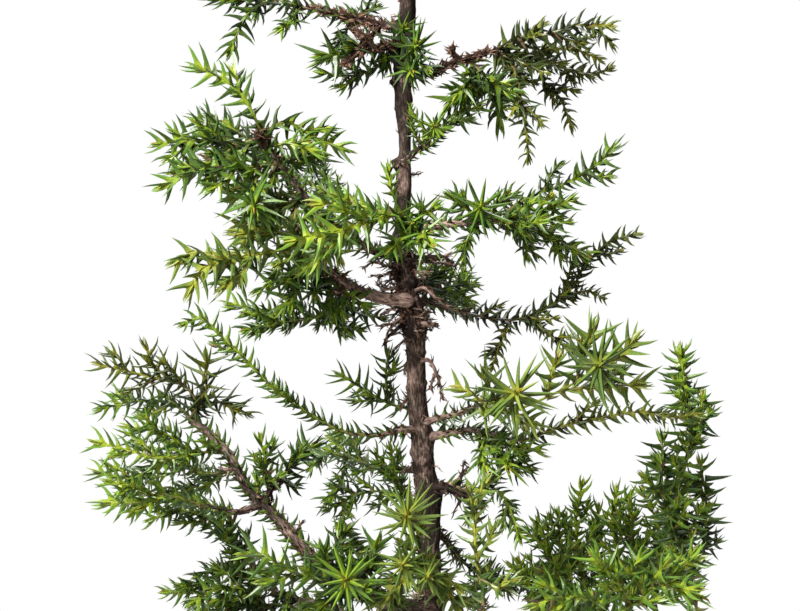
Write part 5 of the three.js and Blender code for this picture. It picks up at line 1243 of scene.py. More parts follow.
# %% The stems of a spray
GOLDEN = np.radians(137.5)
STEM_STEP = 2.2  # mm
SIDE_LEAN = np.radians(48)
SIDE_STRAIGHTEN = 0.6  # share of the lean that the outer half of a side shoot keeps
SIDE_SHARE = 0.34  # length of a side shoot as a share of its stem, in these limits
SIDE_LENGTHS = (7, 17)  # mm
SIDE_FEWER = 2  # the solids carry one side shoot of so many
SIDE_FROM = 0.22  # shares of a stem between which side shoots stand
SIDE_TO = 0.88
SIDE_FIRST = 1.1  # shares of the length at the stem's foot and at its tip
SIDE_LAST = 0.6
SIDE_NEEDLE = 0.9  # length of its needles as a share of the stem's
TWIGLET = 0.62  # length of the side shoots between, as a share
LONG_TWIGLET = 1.05  # length of every other one on a dense spray
DENSE = 1.5  # twiglets for each side shoot from which a spray is dense
TWIGLET_GAP = 14  # mm between twiglets where more side shoots aren't listed
SPRAY_TURN = 1.9  # radians from one spray's first side shoot to the next one's
STAR_FROM = 8.5  # mm: a star's needles are longer
STRONG_STAR_FROM = 11.5  # mm, where it has side shoots
STAR_FACING = 0.72  # share by which its tip faces the eye at least


def sideways(along, angle):
    """A direction square to a stem: level * cos + across * sin, with level = (y, -x, 0) of along."""
    level = np.array([along[1], -along[0], 0.0])
    level = unit(level if np.linalg.norm(level) >= 0.2 else np.array([1.0, 0, 0]))
    return level * np.cos(angle) + unit(np.cross(level, along)) * np.sin(angle)


def side_stem(line, needle, share, turn, scale):
    """A side shoot in two halves: out * sin(lean) + along * cos(lean), straighter in the second."""
    full = np.clip(line.length * SIDE_SHARE, *SIDE_LENGTHS) * scale
    half = full * (SIDE_FIRST + (SIDE_LAST - SIDE_FIRST) * share) / 2
    run = np.array([share * line.length])
    start, along = line.at(run, line.points)[0], line.at(run, line.along)[0]
    out = sideways(along, turn)
    middle = start + half * (out * np.sin(SIDE_LEAN) + along * np.cos(SIDE_LEAN))
    lean = SIDE_LEAN * SIDE_STRAIGHTEN
    tip = middle + half * (out * np.sin(lean) + along * np.cos(lean))
    shorter = SIDE_NEEDLE * (0.6 + 0.4 * scale)
    return Line(np.array([start, middle, tip]), STEM_STEP), needle * shorter, False


def spray_stems(number, listed, twiglets=1.0):
    """All the stems of a spray as (line, needle length, whether it is a star): the listed ones from
    the wood or from each other, then the side shoots that the solids have, then the shorter ones
    between them. A star is a shoot of long needles whose tip faces the eye; one with side shoots of
    its own counts only if its needles are longer still."""
    stems, side_stems = [], []
    own = WOOD_LINES
    for order, (needle, sides, text) in enumerate(listed):
        places = sighted(route_places(text))
        places[0] = nearest(own, places[0])
        line = Line(places, STEM_STEP)
        own = np.vstack([own, line.points]) if order else line.points
        stems.append((line, needle, -line.along[-1, 1] > STAR_FACING
                      and needle > (STRONG_STAR_FROM if sides else STAR_FROM)))
        seed = number * SPRAY_TURN + order
        count = -(-sides // SIDE_FEWER)
        for side in range(count):
            share = SIDE_FROM + (SIDE_TO - SIDE_FROM) * (side + 0.5) / count
            side_stems.append(side_stem(line, needle, share, seed + GOLDEN * side, 1))
        extra = round(twiglets * max(sides, line.length / TWIGLET_GAP))
        for side in range(extra):
            share = SIDE_FROM / 2 + (SIDE_TO - SIDE_FROM / 2) * side / extra
            scale = LONG_TWIGLET if twiglets >= DENSE and side % 2 else TWIGLET
            side_stems.append(side_stem(line, needle, share, seed + 2 + GOLDEN * side, scale))
    return stems, side_stems


sample_stems = spray_stems(0, SPRAYS["left_long"])
print("stems on the long left shoot:", len(sample_stems[0]), "and", len(sample_stems[1]), "side shoots")

# %% The needles of a stem
STEM_SIDES = 5
STEM_RADIUS = (0.75, 0.42)  # mm, at the foot and at the tip
NEEDLE_SPACING = 6.6  # needles a mm are this over the needle's length, in these limits
SPACING_LIMITS = (0.68, 1.6)
STAR_PER_MM = 0.45  # needles a mm of a star
STAR_FOOT = 0.35  # share of a star's stem below its needles
STAR_LENGTH = 16  # mm at the tip of a star's stem that carry needles, at most
STAR_BREADTH = 1.25
ROSETTE = 8  # more needles, over the next line's mm of a star's stem
ROSETTE_REACH = 6
LEAN = np.radians(77)
TIP_LEAN = np.radians(50)
STRAIGHT_FROM = 10.5  # mm: needles longer than this hook little
STRAIGHT_HOOK = (0.15, 0.5)
HOOK = (0.4, 1.15)
BUD_REACH = 6  # mm at the tip along which the needles close up
BUD_NEEDLES = 5
BUD_SHORTER = 0.62  # share of its length that a bud's last needle has lost
BUD_CLOSES = 0.9  # radians that it leans in
GROWTH = 21  # mm that a stem grows in one flush, from the shortest needles to the longest and back
FLUSH_LEAST = 0.84
FLUSH_GAIN = 0.22
CLOSING_SHORTER = 0.15
LEAN_SPREAD = 0.13
USUAL_REACH = 1.07  # length of a needle in the middle of a stem, as a share
REACH_LIMITS = (0.84, 1.1)  # limits of one needle's own share
LEAST_REACH = 2  # mm
DEAD_SHARE = 0.012
NEEDLE_SIZE = 8  # mm: the length of the needle that these three are listed for
NEEDLE_DEPTH = 1.22  # mm, half
NEEDLE_WIDTH = 0.54  # mm, half
NEEDLE_FOOT = 2.3  # mm


def stem_skin(line, age):
    """The green stem: a tube of radius foot + (tip - foot) * share, browner towards its foot."""
    share = line.run / line.length
    radius = STEM_RADIUS[0] + (STEM_RADIUS[1] - STEM_RADIUS[0]) * share
    rings = line.points[:, None] + radius[:, None, None] * facings(line, STEM_SIDES)[1]
    shape = rings.shape[:2]
    brown = np.broadcast_to((0.75 * (1 - soft_step(0.05, 0.45, share)))[:, None], shape)
    return closed_rings(rings, reach=np.full(shape, 0.06), keel=np.zeros(shape),
                        age=np.full(shape, age + 0.2), tint=np.full(shape, 0.5), brown=brown)


def needles_at(draw, line, radius, run, reach, lean, age, brown, breadth=1.0, slim=1.0):
    """Needles on a stem, each next one a golden angle further round it, at the given distances."""
    total = len(run)
    turn = draw.uniform(0, 6) + GOLDEN * np.arange(total) + draw.normal(0, 0.12, total)
    root, along, out, stem = scattered(line, radius, run, turn)
    size = (reach / NEEDLE_SIZE) ** 0.6
    hook = np.where(reach > STRAIGHT_FROM, draw.uniform(*STRAIGHT_HOOK, total), draw.uniform(*HOOK, total))
    return awls(root, along, out, stem, reach, np.maximum(lean, 0.3), hook,
                NEEDLE_DEPTH * size * slim, NEEDLE_WIDTH * size * breadth, NEEDLE_FOOT * size * slim,
                age=age, tint=draw.uniform(0, 1, total) * np.where(brown > 0.5, 0.7, 1), brown=brown)


def stem_needles(draw, line, needle, age, star, style):
    """Needles along a stem, longer or shorter outwards by the style's swell, and a bud of short ones at
    its tip. A star is bare at its foot and has a rosette before its bud."""
    per_mm = STAR_PER_MM if star else np.clip(NEEDLE_SPACING / needle, *SPACING_LIMITS)
    foot = max(STAR_FOOT * line.length, line.length - STAR_LENGTH) if star else 0.5
    run = np.arange(foot, line.length, 1 / per_mm)
    if star:
        run = np.append(run, line.length - np.linspace(ROSETTE_REACH, 1.6, ROSETTE))
    count = len(run)
    run = np.append(run, line.length - np.linspace(1.4, 0.1, BUD_NEEDLES))
    bud = np.append(np.zeros(count), np.linspace(0.4, 1, BUD_NEEDLES))
    share = run / line.length
    total = len(run)
    tip_lean = LEAN if star else TIP_LEAN
    closing = soft_step(line.length - BUD_REACH, line.length, run)
    flush = 0.5 + 0.5 * np.sin(2 * np.pi * run / GROWTH + draw.uniform(0, 6))
    growth = (FLUSH_LEAST + FLUSH_GAIN * flush) * (1 - CLOSING_SHORTER * closing) * (1 - BUD_SHORTER * bud)
    reach = (needle * (USUAL_REACH + style["swell"] * (share - 0.5)) * growth
             * draw.uniform(*REACH_LIMITS, total))
    lean = (LEAN + style["lean"] + (tip_lean - LEAN) * closing + draw.normal(0, LEAN_SPREAD, total)
            - BUD_CLOSES * bud)
    brown = np.clip(draw.uniform(-1, 0.75, total) + 0.4 - 6 * share, 0, 1)
    brown = np.where(draw.uniform(0, 1, total) < DEAD_SHARE, 0.9, brown) * (not star)
    reach = np.maximum(reach, LEAST_REACH) * (1 - 0.4 * brown)
    radius = np.interp(line.run, [0, line.length], STEM_RADIUS)
    shade = age + 0.35 * (share - 0.5) + 0.55 * bud + 0.4 * (bud > 0.9)
    return needles_at(draw, line, radius, run, reach, lean, shade, brown, STAR_BREADTH if star else 1.0,
                      1.0 if star else style["slim"])


# %% All the sprays
AGES = {"dark": 0.26, "olive": 0.26, "bright": 0.36, "soft": 0.4}
AGE_SPREAD = 0.16
SPRAY_SEED = 100
for number, (name, listed) in enumerate(SPRAYS.items()):
    spray_draw = np.random.default_rng(SPRAY_SEED + number)
    style = LOOKS.get(name, PLAIN_LOOK)
    green = style["green"]
    stems, side_stems = spray_stems(number, listed + FINER.get(name, []), style["twiglets"])
    skins = []
    for line, needle, star in stems + side_stems:
        # The tone, partly own colour and partly painted light and shade, is added to the needles' age
        age = (AGES[green] + style["tone"] + style["star"] * star
               + spray_draw.uniform(-AGE_SPREAD, AGE_SPREAD))
        skins += [stem_skin(line, age),
                  stem_needles(spray_draw, line, needle * style["needles"], age, star, style)]
    piece("shoots_" + name, joined(skins), GREENS[green],
          "needles_bright" if green in ("bright", "soft") else "needles_dark", "spray_" + name)
shoot_triangles = sum(count for name, count in triangle_count.items() if name.startswith("shoots_"))
print("sprays:", len(SPRAYS), "triangles:", shoot_triangles)

# %% Green needles on the limbs
# Limbs that are still green further out, with the share of their length where that begins
LEAFY_FROM = {name: 0.45 for name in LIMBS if not name.startswith("root")}
LEAFY_FROM |= {"left_front": 0.12, "left_main": 0.4, "left_high": 0.5, "front_rise": 0.2, "left_long": 0.3,
               "right_upper": 0.05, "right_low": 0.25, "right_front": 0.25, "right_arch": 0.3,
               "right_middle": 0.3}
BARE = ["right_high", "right_high_spur", "left_high_spur", "left_stub", "left_stub_twig", "left_dead_fork",
        "left_dead_hanging", "right_dead", "right_dead_fork", "right_knob", "right_hook", "right_hook_spur",
        "right_knee_fork"]
LIMB_NEEDLE = 7  # mm
LIMB_NEEDLES_PER_MM = 1.2
leaf_draw = np.random.default_rng(21)
limb_needles = []
for name, start in LEAFY_FROM.items():
    if name not in BARE:
        line, radius = limbs[name]
        run = np.arange(start * line.length, line.length, 1 / LIMB_NEEDLES_PER_MM)
        total = len(run)
        limb_needles.append(needles_at(
            leaf_draw, line, radius, run, LIMB_NEEDLE * leaf_draw.uniform(0.55, 1.1, total),
            LEAN + leaf_draw.normal(0, 0.15, total), np.full(total, AGES["dark"]), np.zeros(total)))
piece("limb_needles", joined(limb_needles), GREENS["dark"], "needles_dark")
print("triangles of needles on limbs:", triangle_count["limb_needles"])

# %% [markdown]
# ## The pot
# A bonsai pot is pressed in a mould and fired without glaze: a rectangle with round corners, walls
# that lean and belly a little, a rim band, and four feet. One outline, drawn at many heights with its
# own inset, makes all of it. A bevelled box could do this too, but the profile gives the soft edges
# that fired clay has, and the slight unevenness is added to the same points.

# %% The clay
def clay_finish(name):
    """Brown stoneware: slow changes of shade, fine dark and pale specks, and a dusty bloom low down."""
    finish = Finish(name)
    cloud, speck = finish.grain(22.0, 4.0), finish.grain(1500.0, 1.0)
    body = finish.ramp(cloud, (0.3, (0.085, 0.042, 0.028)), (0.7, (0.17, 0.088, 0.057)))
    dark = finish.mix(finish.fade(speck, 0.64, 0.72) * 0.75, body, (0.018, 0.011, 0.009))
    pale = finish.mix(finish.fade(speck, 0.34, 0.27) * 0.5, dark, (0.33, 0.23, 0.16))
    edge = finish.mix(finish.mark("worn") * (0.35 + 0.4 * cloud), pale, (0.28, 0.175, 0.12))
    dust = finish.fade(finish.mark("low") + (cloud - 0.5) * 0.8, 0.55, 1.0) * 0.35
    colour = finish.mix(dust, edge, (0.36, 0.31, 0.25))
    height = speck * 0.35 + finish.grain(260.0, 4.0) * 0.65
    return finish.surface(colour, 0.62 + cloud * 0.2 + dust * 0.15, height, 0.0004)


CLAY = clay_finish("clay")
print("clay finish:", CLAY.name)

# %% The pot's measures in mm, and its outline
POT_LENGTH = 168
POT_DEPTH = 124
POT_HEIGHT = 54
POT_CORNER = 20
POT_CORNER_MIN = 4
POT_WALL = 6
POT_FLOOR = 7
POT_TAPER = 8
POT_BELLY = 1.2
RIM_HEIGHT = 8
RIM_OVERHANG = 3.5
FOOT_HEIGHT = 6
CORNER_STEPS = 10
EDGE_STEPS = 22


def outline(length, depth, corner, edge_steps=EDGE_STEPS, corner_steps=CORNER_STEPS):
    """A rectangle with round corners, anticlockwise: corner middles + corner * (cos, sin) of angles
    that run through a quarter each, and even steps along the edges between them."""
    half = np.array([length / 2, depth / 2]) - corner
    quarter = np.linspace(0, np.pi / 2, corner_steps)
    arcs = []
    for turn, (x, y) in enumerate([(1, 1), (-1, 1), (-1, -1), (1, -1)]):
        angle = quarter + turn * np.pi / 2
        arcs.append(half * [x, y] + corner * np.stack([np.cos(angle), np.sin(angle)], axis=-1))
    share = np.linspace(0, 1, edge_steps + 1)[1:-1, None]
    edges = [arc[-1] * (1 - share) + following[0] * share
             for arc, following in zip(arcs, arcs[1:] + arcs[:1])]
    return np.vstack([part for pair in zip(arcs, edges) for part in pair])


def wall_ring(height, inset):
    """The outline of the pot's outer wall at a height, drawn in by the wall's lean and an inset."""
    draw_in = POT_TAPER * (1 - (height - FOOT_HEIGHT) / (POT_HEIGHT - FOOT_HEIGHT)) + inset
    corner = max(POT_CORNER - draw_in, POT_CORNER_MIN)
    flat = outline(POT_LENGTH - 2 * draw_in, POT_DEPTH - 2 * draw_in, corner)
    return np.column_stack([flat, np.full(len(flat), height)])


def arc(start, end, rise, steps=6):
    """Pairs of height and inset along a quarter round from one pair to another; rise is 1 where the
    height moves first and 0 where the inset does."""
    angle = np.linspace(0, np.pi / 2, steps)
    first, second = np.sin(angle), 1 - np.cos(angle)
    height, inset = (first, second) if rise else (second, first)
    return np.stack([start[0] + (end[0] - start[0]) * height,
                     start[1] + (end[1] - start[1]) * inset], -1)


print("points of the outline:", len(wall_ring(POT_HEIGHT, 0)))

# %% The pot's walls
rim_foot = POT_HEIGHT - RIM_HEIGHT
mouth = POT_WALL + RIM_OVERHANG
floor_top = FOOT_HEIGHT + POT_FLOOR
WOBBLE = 0.5  # mm, and the size of a wave in mm
WOBBLE_SIZE = 17.0
DUST_HEIGHT = 26  # mm that dust reaches up the clay


def dusty(rings):
    """1 on the table down to 0 at the dust's height and above."""
    return np.clip(1 - rings[..., 2] / DUST_HEIGHT, 0, 1)


belly_share = np.linspace(0, 1, 12)
belly = np.stack([FOOT_HEIGHT + 1.5 + (rim_foot - FOOT_HEIGHT - 2.5) * belly_share,
                  0.2 - (POT_BELLY + 0.2) * np.sin(np.pi * belly_share)
                  + RIM_OVERHANG * soft_step(0.55, 1, belly_share)], -1)
profile = np.vstack([
    arc((FOOT_HEIGHT, 1.8), (FOOT_HEIGHT + 1.5, 0.2), 0), belly[1:],
    arc((rim_foot - 0.6, RIM_OVERHANG), (rim_foot + 1.5, 0), 0),
    arc((POT_HEIGHT - 1.6, 0), (POT_HEIGHT, 1.6), 1),
    arc((POT_HEIGHT, mouth - 1.6), (POT_HEIGHT - 1.6, mouth), 0),
    [[rim_foot, mouth], [floor_top + 4, POT_WALL]],
    arc((floor_top + 4, POT_WALL), (floor_top, POT_WALL + 3), 1)])
true_rings = np.stack([wall_ring(height, inset) for height, inset in profile])
wobble = noise(true_rings / WOBBLE_SIZE, 71) - 0.5
rings = true_rings + WOBBLE * wobble[..., None] * unit(true_rings * [1, 1, 0])
worn = np.repeat(np.exp(-((profile[:, 0] - POT_HEIGHT) / 1.4) ** 2)[:, None], rings.shape[1], axis=1)
pot = piece("pot_body", closed_rings(rings, worn=worn, low=dusty(rings)), CLAY, "clay", "pot", crease=0.9)
print("rings of the pot:", len(rings))

# %% The drain holes
DRAIN_RADIUS = 6
DRAIN_SPACING = 60
DRAIN_SIDES = 32


def plug(x):
    """An upright round plug through the floor, to cut a drain hole with."""
    angle = np.linspace(0, 2 * np.pi, DRAIN_SIDES, endpoint=False)
    ring = np.stack([x + DRAIN_RADIUS * np.cos(angle), DRAIN_RADIUS * np.sin(angle), 0 * angle], -1)
    return closed_rings(np.stack([ring, ring + [0, 0, 2 * floor_top]]))


plugs = bpy.data.meshes.new("drain_plugs")
both = joined([plug(-DRAIN_SPACING / 2), plug(DRAIN_SPACING / 2)])
plugs.from_pydata((both["points"] * MM + POT_MIDDLE).tolist(), [],
                  both["quads"].tolist() + both["triangles"].tolist())
cutter = placed("drain_plugs", plugs)
cut = pot.modifiers.new("drain", "BOOLEAN")
cut.operation = "DIFFERENCE"
cut.object = cutter
pot.data = bpy.data.meshes.new_from_object(pot.evaluated_get(bpy.context.evaluated_depsgraph_get()))
pot.modifiers.clear()
bpy.data.objects.remove(cutter)
print("faces of the pot:", len(pot.data.polygons))

# %% The pot's feet
FOOT_LENGTH = 30
FOOT_DEPTH = 22
FOOT_TAPER = 4
FOOT_END_GAP = 7
FOOT_SIDE_GAP = 4
FOOT_WORN = 0.25
FOOT_X = POT_LENGTH / 2 - POT_TAPER - FOOT_LENGTH / 2 - FOOT_END_GAP
FOOT_Y = POT_DEPTH / 2 - POT_TAPER - FOOT_DEPTH / 2 - FOOT_SIDE_GAP


def foot_skin(x, y):
    """A foot: outlines that widen upwards from a sole with rounded edges, sunk in the underside."""
    levels = [(0, FOOT_TAPER), (0.25, FOOT_TAPER - 0.7), (0.9, FOOT_TAPER - 1.2),
              (FOOT_HEIGHT - 1, 0.6), (FOOT_HEIGHT + 2, 0)]
    rings = []
    for height, taper in levels:
        flat = outline(FOOT_LENGTH - taper, FOOT_DEPTH - taper, 5, 8, 6) + [x, y]
        rings.append(np.column_stack([flat, np.full(len(flat), height)]))
    foot = np.stack(rings)
    return closed_rings(foot, worn=np.full(foot.shape[:2], FOOT_WORN), low=dusty(foot))


corners = [(FOOT_X, FOOT_Y), (-FOOT_X, FOOT_Y), (FOOT_X, -FOOT_Y), (-FOOT_X, -FOOT_Y)]
piece("pot_feet", joined([foot_skin(x, y) for x, y in corners]), CLAY, "clay", crease=0.9)
print("feet at", corners[0])

# %% [markdown]
# ## Grit and moss
# Bonsai grow in loose grit: baked brown clay, pale pumice and dark lava, sieved to a few millimetres.
# A bumpy bed fills the pot, and grains are scattered over it, each a rough pebble of twenty faces with
# its own size, turn and shade. Moss grows where the trunk meets the grit, as low cushions of tiny
# blades. Both are drawn at random from a fixed seed, because real grains lie at random.

# %% The bed of grit
SOIL_BELOW_RIM = 4
SOIL_MOUND = 7
CLEARANCE = 0.3
SOIL_EDGE = mouth + CLEARANCE + 0.4
SOIL_TOP = POT_HEIGHT - SOIL_BELOW_RIM
MOUND_INSETS = [0, 16, 34, 50]
MOUND_SHARES = [0, 0.45, 0.85, 1]
BUMP_HEIGHT = 1.1
BUMP_SIZE = 2.4
GRIT_STOPS = [(0.0, (0.04, 0.027, 0.02)), (0.2, (0.075, 0.05, 0.034)), (0.26, (0.2, 0.105, 0.055)),
              (0.8, (0.3, 0.17, 0.09)), (0.86, (0.42, 0.36, 0.27)), (1.0, (0.52, 0.47, 0.38))]


def grit_finish(name):
    """Grains of brown baked clay, with a few of pale pumice and dark lava, told apart by their tint."""
    finish = Finish(name)
    tint, fine = finish.mark("tint"), finish.grain(1100.0, 4.0)
    colour = finish.mix(fine * 0.45, finish.ramp(tint, *GRIT_STOPS), (0.06, 0.04, 0.028))
    return finish.surface(colour, 0.86 + fine * 0.1, fine, 0.0006)


def bed_height(x, y):
    """The mound: how far a place is inside the rounded outline sets its share of the mound's height."""
    half = np.array([POT_LENGTH / 2, POT_DEPTH / 2]) - SOIL_EDGE - POT_CORNER / 2
    beyond = np.abs(np.stack([x, y], -1)) - half
    outside = np.linalg.norm(np.maximum(beyond, 0), axis=-1) + np.minimum(beyond.max(-1), 0)
    inset = np.maximum(POT_CORNER / 2 - outside, 0)
    return SOIL_TOP + SOIL_MOUND * np.interp(inset, MOUND_INSETS, MOUND_SHARES), inset


GRIT = grit_finish("grit")
sunk = [(floor_top + CLEARANCE, POT_WALL + 3 + CLEARANCE), (floor_top + 4 + CLEARANCE, POT_WALL + CLEARANCE),
        (rim_foot, SOIL_EDGE)]
levels = sunk + [(SOIL_TOP, SOIL_EDGE + inset) for inset in np.linspace(0, MOUND_INSETS[-1], 34)]
bed = np.stack([wall_ring(*level) for level in levels])
top = bed[len(sunk):]
top[..., 2] = bed_height(top[..., 0], top[..., 1])[0] + BUMP_HEIGHT * (noise(top / BUMP_SIZE, 81) - 0.6)
piece("grit_bed", closed_rings(bed, tint=0.15 + 0.35 * noise(bed / 1.7, 82)), GRIT, "grit", "soil")
print("middle of the mound in mm:", round(float(top[..., 2].max()), 1))

# %% Loose grains
GRAINS = 2700
GRAIN_SIZE = (0.9, 2.1)  # mm
GRAIN_MARGIN = 1.6  # mm from the clay
GOLDEN_RATIO = (1 + 5 ** 0.5) / 2
# A pebble's twelve corners are those of three golden oblongs that stand square to each other
oblong = np.array([[across, GOLDEN_RATIO * up, 0] for up in (1, -1) for across in (-1, 1)])
ICO_POINTS = unit(np.vstack([np.roll(oblong, shift, axis=1) for shift in range(3)]))
ICO_FACES = np.array([[0, 11, 5], [0, 5, 1], [0, 1, 7], [0, 7, 10], [0, 10, 11], [1, 5, 9], [5, 11, 4],
                      [11, 10, 2], [10, 7, 6], [7, 1, 8], [3, 9, 4], [3, 4, 2], [3, 2, 6], [3, 6, 8],
                      [3, 8, 9], [4, 9, 5], [2, 4, 11], [6, 2, 10], [8, 6, 7], [9, 8, 1]])
NO_QUADS = np.zeros((0, 4), int)


def on_the_grit(draw, tries, margin, most):
    """Places drawn evenly over the pot, of which the first are kept that lie further in than the margin,
    with the height of the bed there."""
    spot = draw.uniform(-1, 1, (tries, 2)) * [POT_LENGTH / 2, POT_DEPTH / 2]
    level, inset = bed_height(spot[:, 0], spot[:, 1])
    kept = np.flatnonzero(inset > margin)[:most]
    return spot[kept], level[kept]


grain_draw = np.random.default_rng(5)
grain_spot, grain_level = on_the_grit(grain_draw, 3 * GRAINS, GRAIN_MARGIN, GRAINS)
grain_count = len(grain_spot)
size = (grain_draw.uniform(*GRAIN_SIZE, (grain_count, 1, 1))
        * grain_draw.uniform(0.7, 1.15, (grain_count, 1, 3)))
turned = np.linalg.qr(grain_draw.normal(0, 1, (grain_count, 3, 3)))[0]
turned *= np.sign(np.linalg.det(turned))[:, None, None]
rough = ICO_POINTS[None] * grain_draw.uniform(0.8, 1.15, (grain_count, len(ICO_POINTS), 1)) * size
middle = np.column_stack([grain_spot, grain_level + 0.35 * size[:, 0, 2]])
grain_points = np.einsum("nij,nkj->nki", turned, rough) + middle[:, None]
grain_faces = ICO_FACES[None] + len(ICO_POINTS) * np.arange(grain_count)[:, None, None]
grains = skin(grain_points.reshape(-1, 3), NO_QUADS, grain_faces.reshape(-1, 3),
              tint=np.repeat(grain_draw.uniform(0, 1, grain_count), len(ICO_POINTS)))
piece("grit_grains", grains, GRIT, "grit", crease=0.5)
print("grains:", grain_count)

# %% Moss
# Cushions: middle across and back in mm from the middle of the pot, then radius and height
CUSHIONS = [[-4, -22, 12, 2.6], [34, 9, 13, 3.0], [-12, 18, 10, 2.2], [44, -20, 9, 2.0], [-46, -14, 11, 2.4],
            [-60, 24, 8, 1.8], [62, 30, 7, 1.6]]
BLADES = 900
BLADE_LENGTH = 1.3  # mm
BLADE_WIDTH = 0.26  # mm
DOME_RINGS = 9
DOME_SIDES = 40


def moss_finish(name):
    """Moss: deep green between the blades and yellow-green at their tips, in slow patches."""
    finish = Finish(name)
    patch = finish.grain(160.0, 3.0)
    tips = finish.ramp(finish.mark("reach") * 0.7 + patch * 0.3, (0.15, (0.012, 0.03, 0.006)),
                       (0.6, (0.055, 0.115, 0.016)), (1.0, (0.17, 0.24, 0.035)))
    return finish.surface(tips, 0.8 + patch * 0.15, patch, 0.0003)


def cushion_skins(draw, x, y, radius, high):
    """A dome of height (1 - r * r) with a noisy edge, and blades that stand out of it."""
    def raised(share, reach, turn, below):
        """Points of the dome at a share of its radius, so far out and so far round, set a little below."""
        across, back = x + reach * np.cos(turn), y + reach * np.sin(turn)
        level = bed_height(across, back)[0] - below + (high + 0.6) * (1 - share ** 2)
        return np.stack([across, back, level], -1)

    share = np.linspace(1, 0.04, DOME_RINGS)[:, None]
    angle = np.linspace(0, 2 * np.pi, DOME_SIDES, endpoint=False)
    circle = np.stack([3 * np.cos(angle) + x, 3 * np.sin(angle) + y, 0 * angle], -1)
    edge = radius * (0.75 + 0.45 * noise(circle, 91))
    dome = raised(share, share * edge, angle, 0.6)
    base = closed_rings(np.concatenate([dome[:1] - [0, 0, 1], dome]),
                        reach=np.full((DOME_RINGS + 1, DOME_SIDES), 0.1))
    part = np.sqrt(draw.uniform(0, 1, BLADES))
    turn = draw.uniform(0, 2 * np.pi, BLADES)
    foot = raised(part, part * np.interp(turn, angle, edge), turn, 0.8)
    way = unit(np.column_stack([0.6 * part * np.cos(turn), 0.6 * part * np.sin(turn), np.ones(BLADES)])
               + draw.normal(0, 0.3, (BLADES, 3)))
    third = draw.uniform(0, 2, (BLADES, 1)) + np.arange(3) * 2 * np.pi / 3
    corner = foot[:, None] + BLADE_WIDTH * np.stack([np.cos(third), np.sin(third), 0 * third], -1)
    point = foot + BLADE_LENGTH * draw.uniform(0.6, 1.2, (BLADES, 1)) * way
    points = np.concatenate([corner, point[:, None]], 1)
    faces = np.array([[0, 1, 3], [1, 2, 3], [2, 0, 3], [2, 1, 0]]) + 4 * np.arange(BLADES)[:, None, None]
    blades = skin(points.reshape(-1, 3), NO_QUADS, faces.reshape(-1, 3),
                  reach=np.tile([0.25, 0.25, 0.25, 1.0], BLADES))
    return [base, blades]


ground_draw = np.random.default_rng(7)
cushions = [part for cushion in CUSHIONS for part in cushion_skins(ground_draw, *cushion)]
piece("moss", joined(cushions), moss_finish("moss"), "grit")
print("moss cushions:", len(CUSHIONS), "triangles:", triangle_count["moss"])

# %% Fallen needles
FALLEN = 130
FALLEN_MARGIN = 8  # mm from the clay
FALLEN_LENGTH = (4, 10)  # mm
FALLEN_THICKNESS = 0.4  # mm, half
FALLEN_LEVEL = 1.6  # mm over the bed
fallen_spot, fallen_level = on_the_grit(ground_draw, 6 * FALLEN, FALLEN_MARGIN, FALLEN)
count = len(fallen_spot)
turn = ground_draw.uniform(0, 2 * np.pi, count)
flat = np.stack([np.cos(turn), np.sin(turn), ground_draw.normal(0, 0.12, count)], -1)
up = unit(np.array([0, 0, 1.0]) - flat[:, 2:] * unit(flat))
thickness = np.full(count, FALLEN_THICKNESS)
fallen = awls(np.column_stack([fallen_spot, fallen_level + FALLEN_LEVEL]), unit(flat), up, thickness,
              ground_draw.uniform(*FALLEN_LENGTH, count), np.full(count, 0.3),
              ground_draw.uniform(0.3, 0.9, count), thickness, thickness, np.full(count, 1.0),
              age=np.zeros(count), tint=ground_draw.uniform(0.3, 1, count), brown=np.ones(count))
piece("fallen_needles", fallen, GREENS["dark"], "bark")
print("fallen needles:", count)

# %% [markdown]
# ## Floor, light and camera
# The tree stands on a plain pale floor under soft studio light: one large lamp high on the left in
# front, a weak one low in front, one behind, and an even surround. Light that came from all sides
# alike would leave no shade under the needles, so the surround is dim as a light and white only where
# it is seen directly. The camera looks level at the middle of the tree from 800 mm away, so the
# photograph's part of the tree fills the frame, with the crown and the pot outside it.

# %% The floor
def floor_finish(name):
    """A pale matt floor with the faintest mottle."""
    finish = Finish(name)
    mottle = finish.grain(9.0, 3.0)
    colour = finish.ramp(mottle, (0.3, (0.42, 0.42, 0.41)), (0.7, (0.46, 0.46, 0.45)))
    return finish.surface(colour, 0.75 + mottle * 0.1, mottle, 0.0001)


FLOOR_RADIUS = 0.6  # m
FLOOR_DROP = 0.0002  # m below the soles, so that the two never flicker
FLOOR_SIDES = 64
floor_mesh = bpy.data.meshes.new("floor")
floor_angle = np.linspace(0, 2 * np.pi, FLOOR_SIDES, endpoint=False)
floor_edge = np.stack([FLOOR_RADIUS * np.cos(floor_angle), FLOOR_RADIUS * np.sin(floor_angle),
                       np.full(FLOOR_SIDES, -FLOOR_DROP)], -1)
floor_mesh.from_pydata(floor_edge.tolist(), [], [list(range(FLOOR_SIDES))])
floor_mesh.materials.append(floor_finish("pale_floor"))
floor = placed("floor", floor_mesh)
print("floor radius in m:", FLOOR_RADIUS)

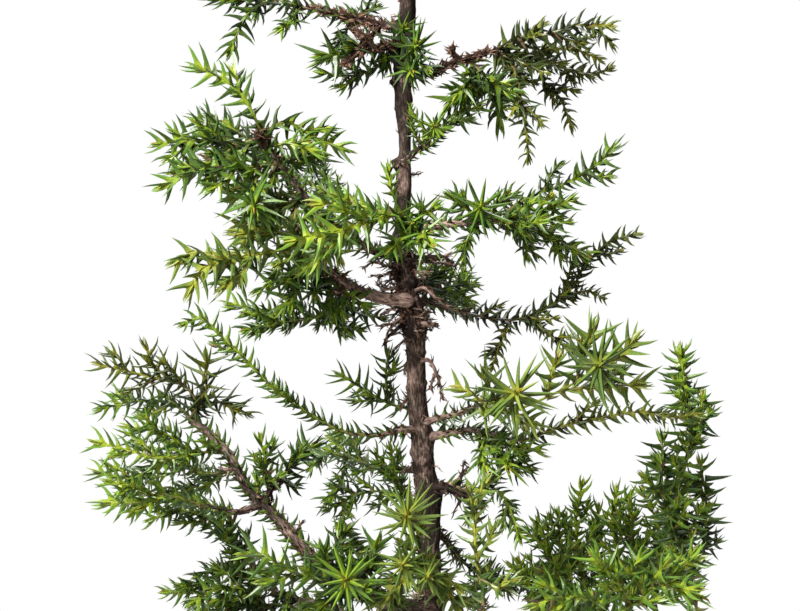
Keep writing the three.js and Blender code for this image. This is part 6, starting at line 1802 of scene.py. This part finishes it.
# %% Light
def lamp(name, place, aim, size, watts, colour):
    """A square lamp at a place in metres, turned towards a point."""
    light = bpy.data.lights.new(name, "AREA")
    light.size = size
    light.energy = watts
    light.color = colour
    thing = placed(name, light)
    thing.location = place
    thing.rotation_mode = "QUATERNION"
    thing.rotation_quaternion = (aim - thing.location).to_track_quat("-Z", "Y")


# Lamps: place in metres, size in metres, watts and colour
LAMPS = {
    "key_lamp": [(-0.85, -1.1, 1.3), 0.7, 87, (1.0, 0.985, 0.96)],
    "fill_lamp": [(-0.5, -1.4, 0.35), 1.0, 4, (0.96, 0.98, 1.0)],
    "back_lamp": [(0.3, 1.3, 1.4), 1.0, 12, (1.0, 1.0, 1.0)],
}
tree_middle = Vector((0, 0, 0.26))
for name, (place, *power) in LAMPS.items():
    lamp(name, place, tree_middle, *power)
print("lamps:", len(bpy.data.lights))

# %% The surround
SURROUND = 0.05  # its strength as a light, where 1 is white
WHITE = (1, 1, 1, 1)
world = bpy.data.worlds.new("studio")
world.use_nodes = True
bpy.context.scene.world = world
nodes = world.node_tree.nodes
links = world.node_tree.links
dim = nodes["Background"]
dim.inputs["Color"].default_value = WHITE
dim.inputs["Strength"].default_value = SURROUND
white = nodes.new("ShaderNodeBackground")
white.inputs["Color"].default_value = WHITE
seen = nodes.new("ShaderNodeLightPath")
choice = nodes.new("ShaderNodeMixShader")
links.new(seen.outputs["Is Camera Ray"], choice.inputs[0])
links.new(dim.outputs[0], choice.inputs[1])
links.new(white.outputs[0], choice.inputs[2])
links.new(choice.outputs[0], nodes["World Output"].inputs["Surface"])
bpy.context.scene.view_settings.view_transform = "Standard"
print("surround as a light:", SURROUND)

# %% Camera
LENS = 80  # mm: 36 / 80 of 800 mm is the 360 mm that the view is wide
SENSOR = 36  # mm
camera = placed("camera", bpy.data.cameras.new("camera"))
camera.data.lens = LENS
camera.data.sensor_width = SENSOR
camera.data.sensor_fit = "HORIZONTAL"
camera.location = POT_MIDDLE + MM * np.array([0, -EYE_DISTANCE, EYE_HEIGHT])
camera.rotation_euler = (np.pi / 2, 0, 0)
bpy.context.scene.camera = camera
print("camera at", np.round(list(camera.location), 3).tolist())

# %% [markdown]
# The dressed tree may be no larger than the CAD solids, apart from a few percent.
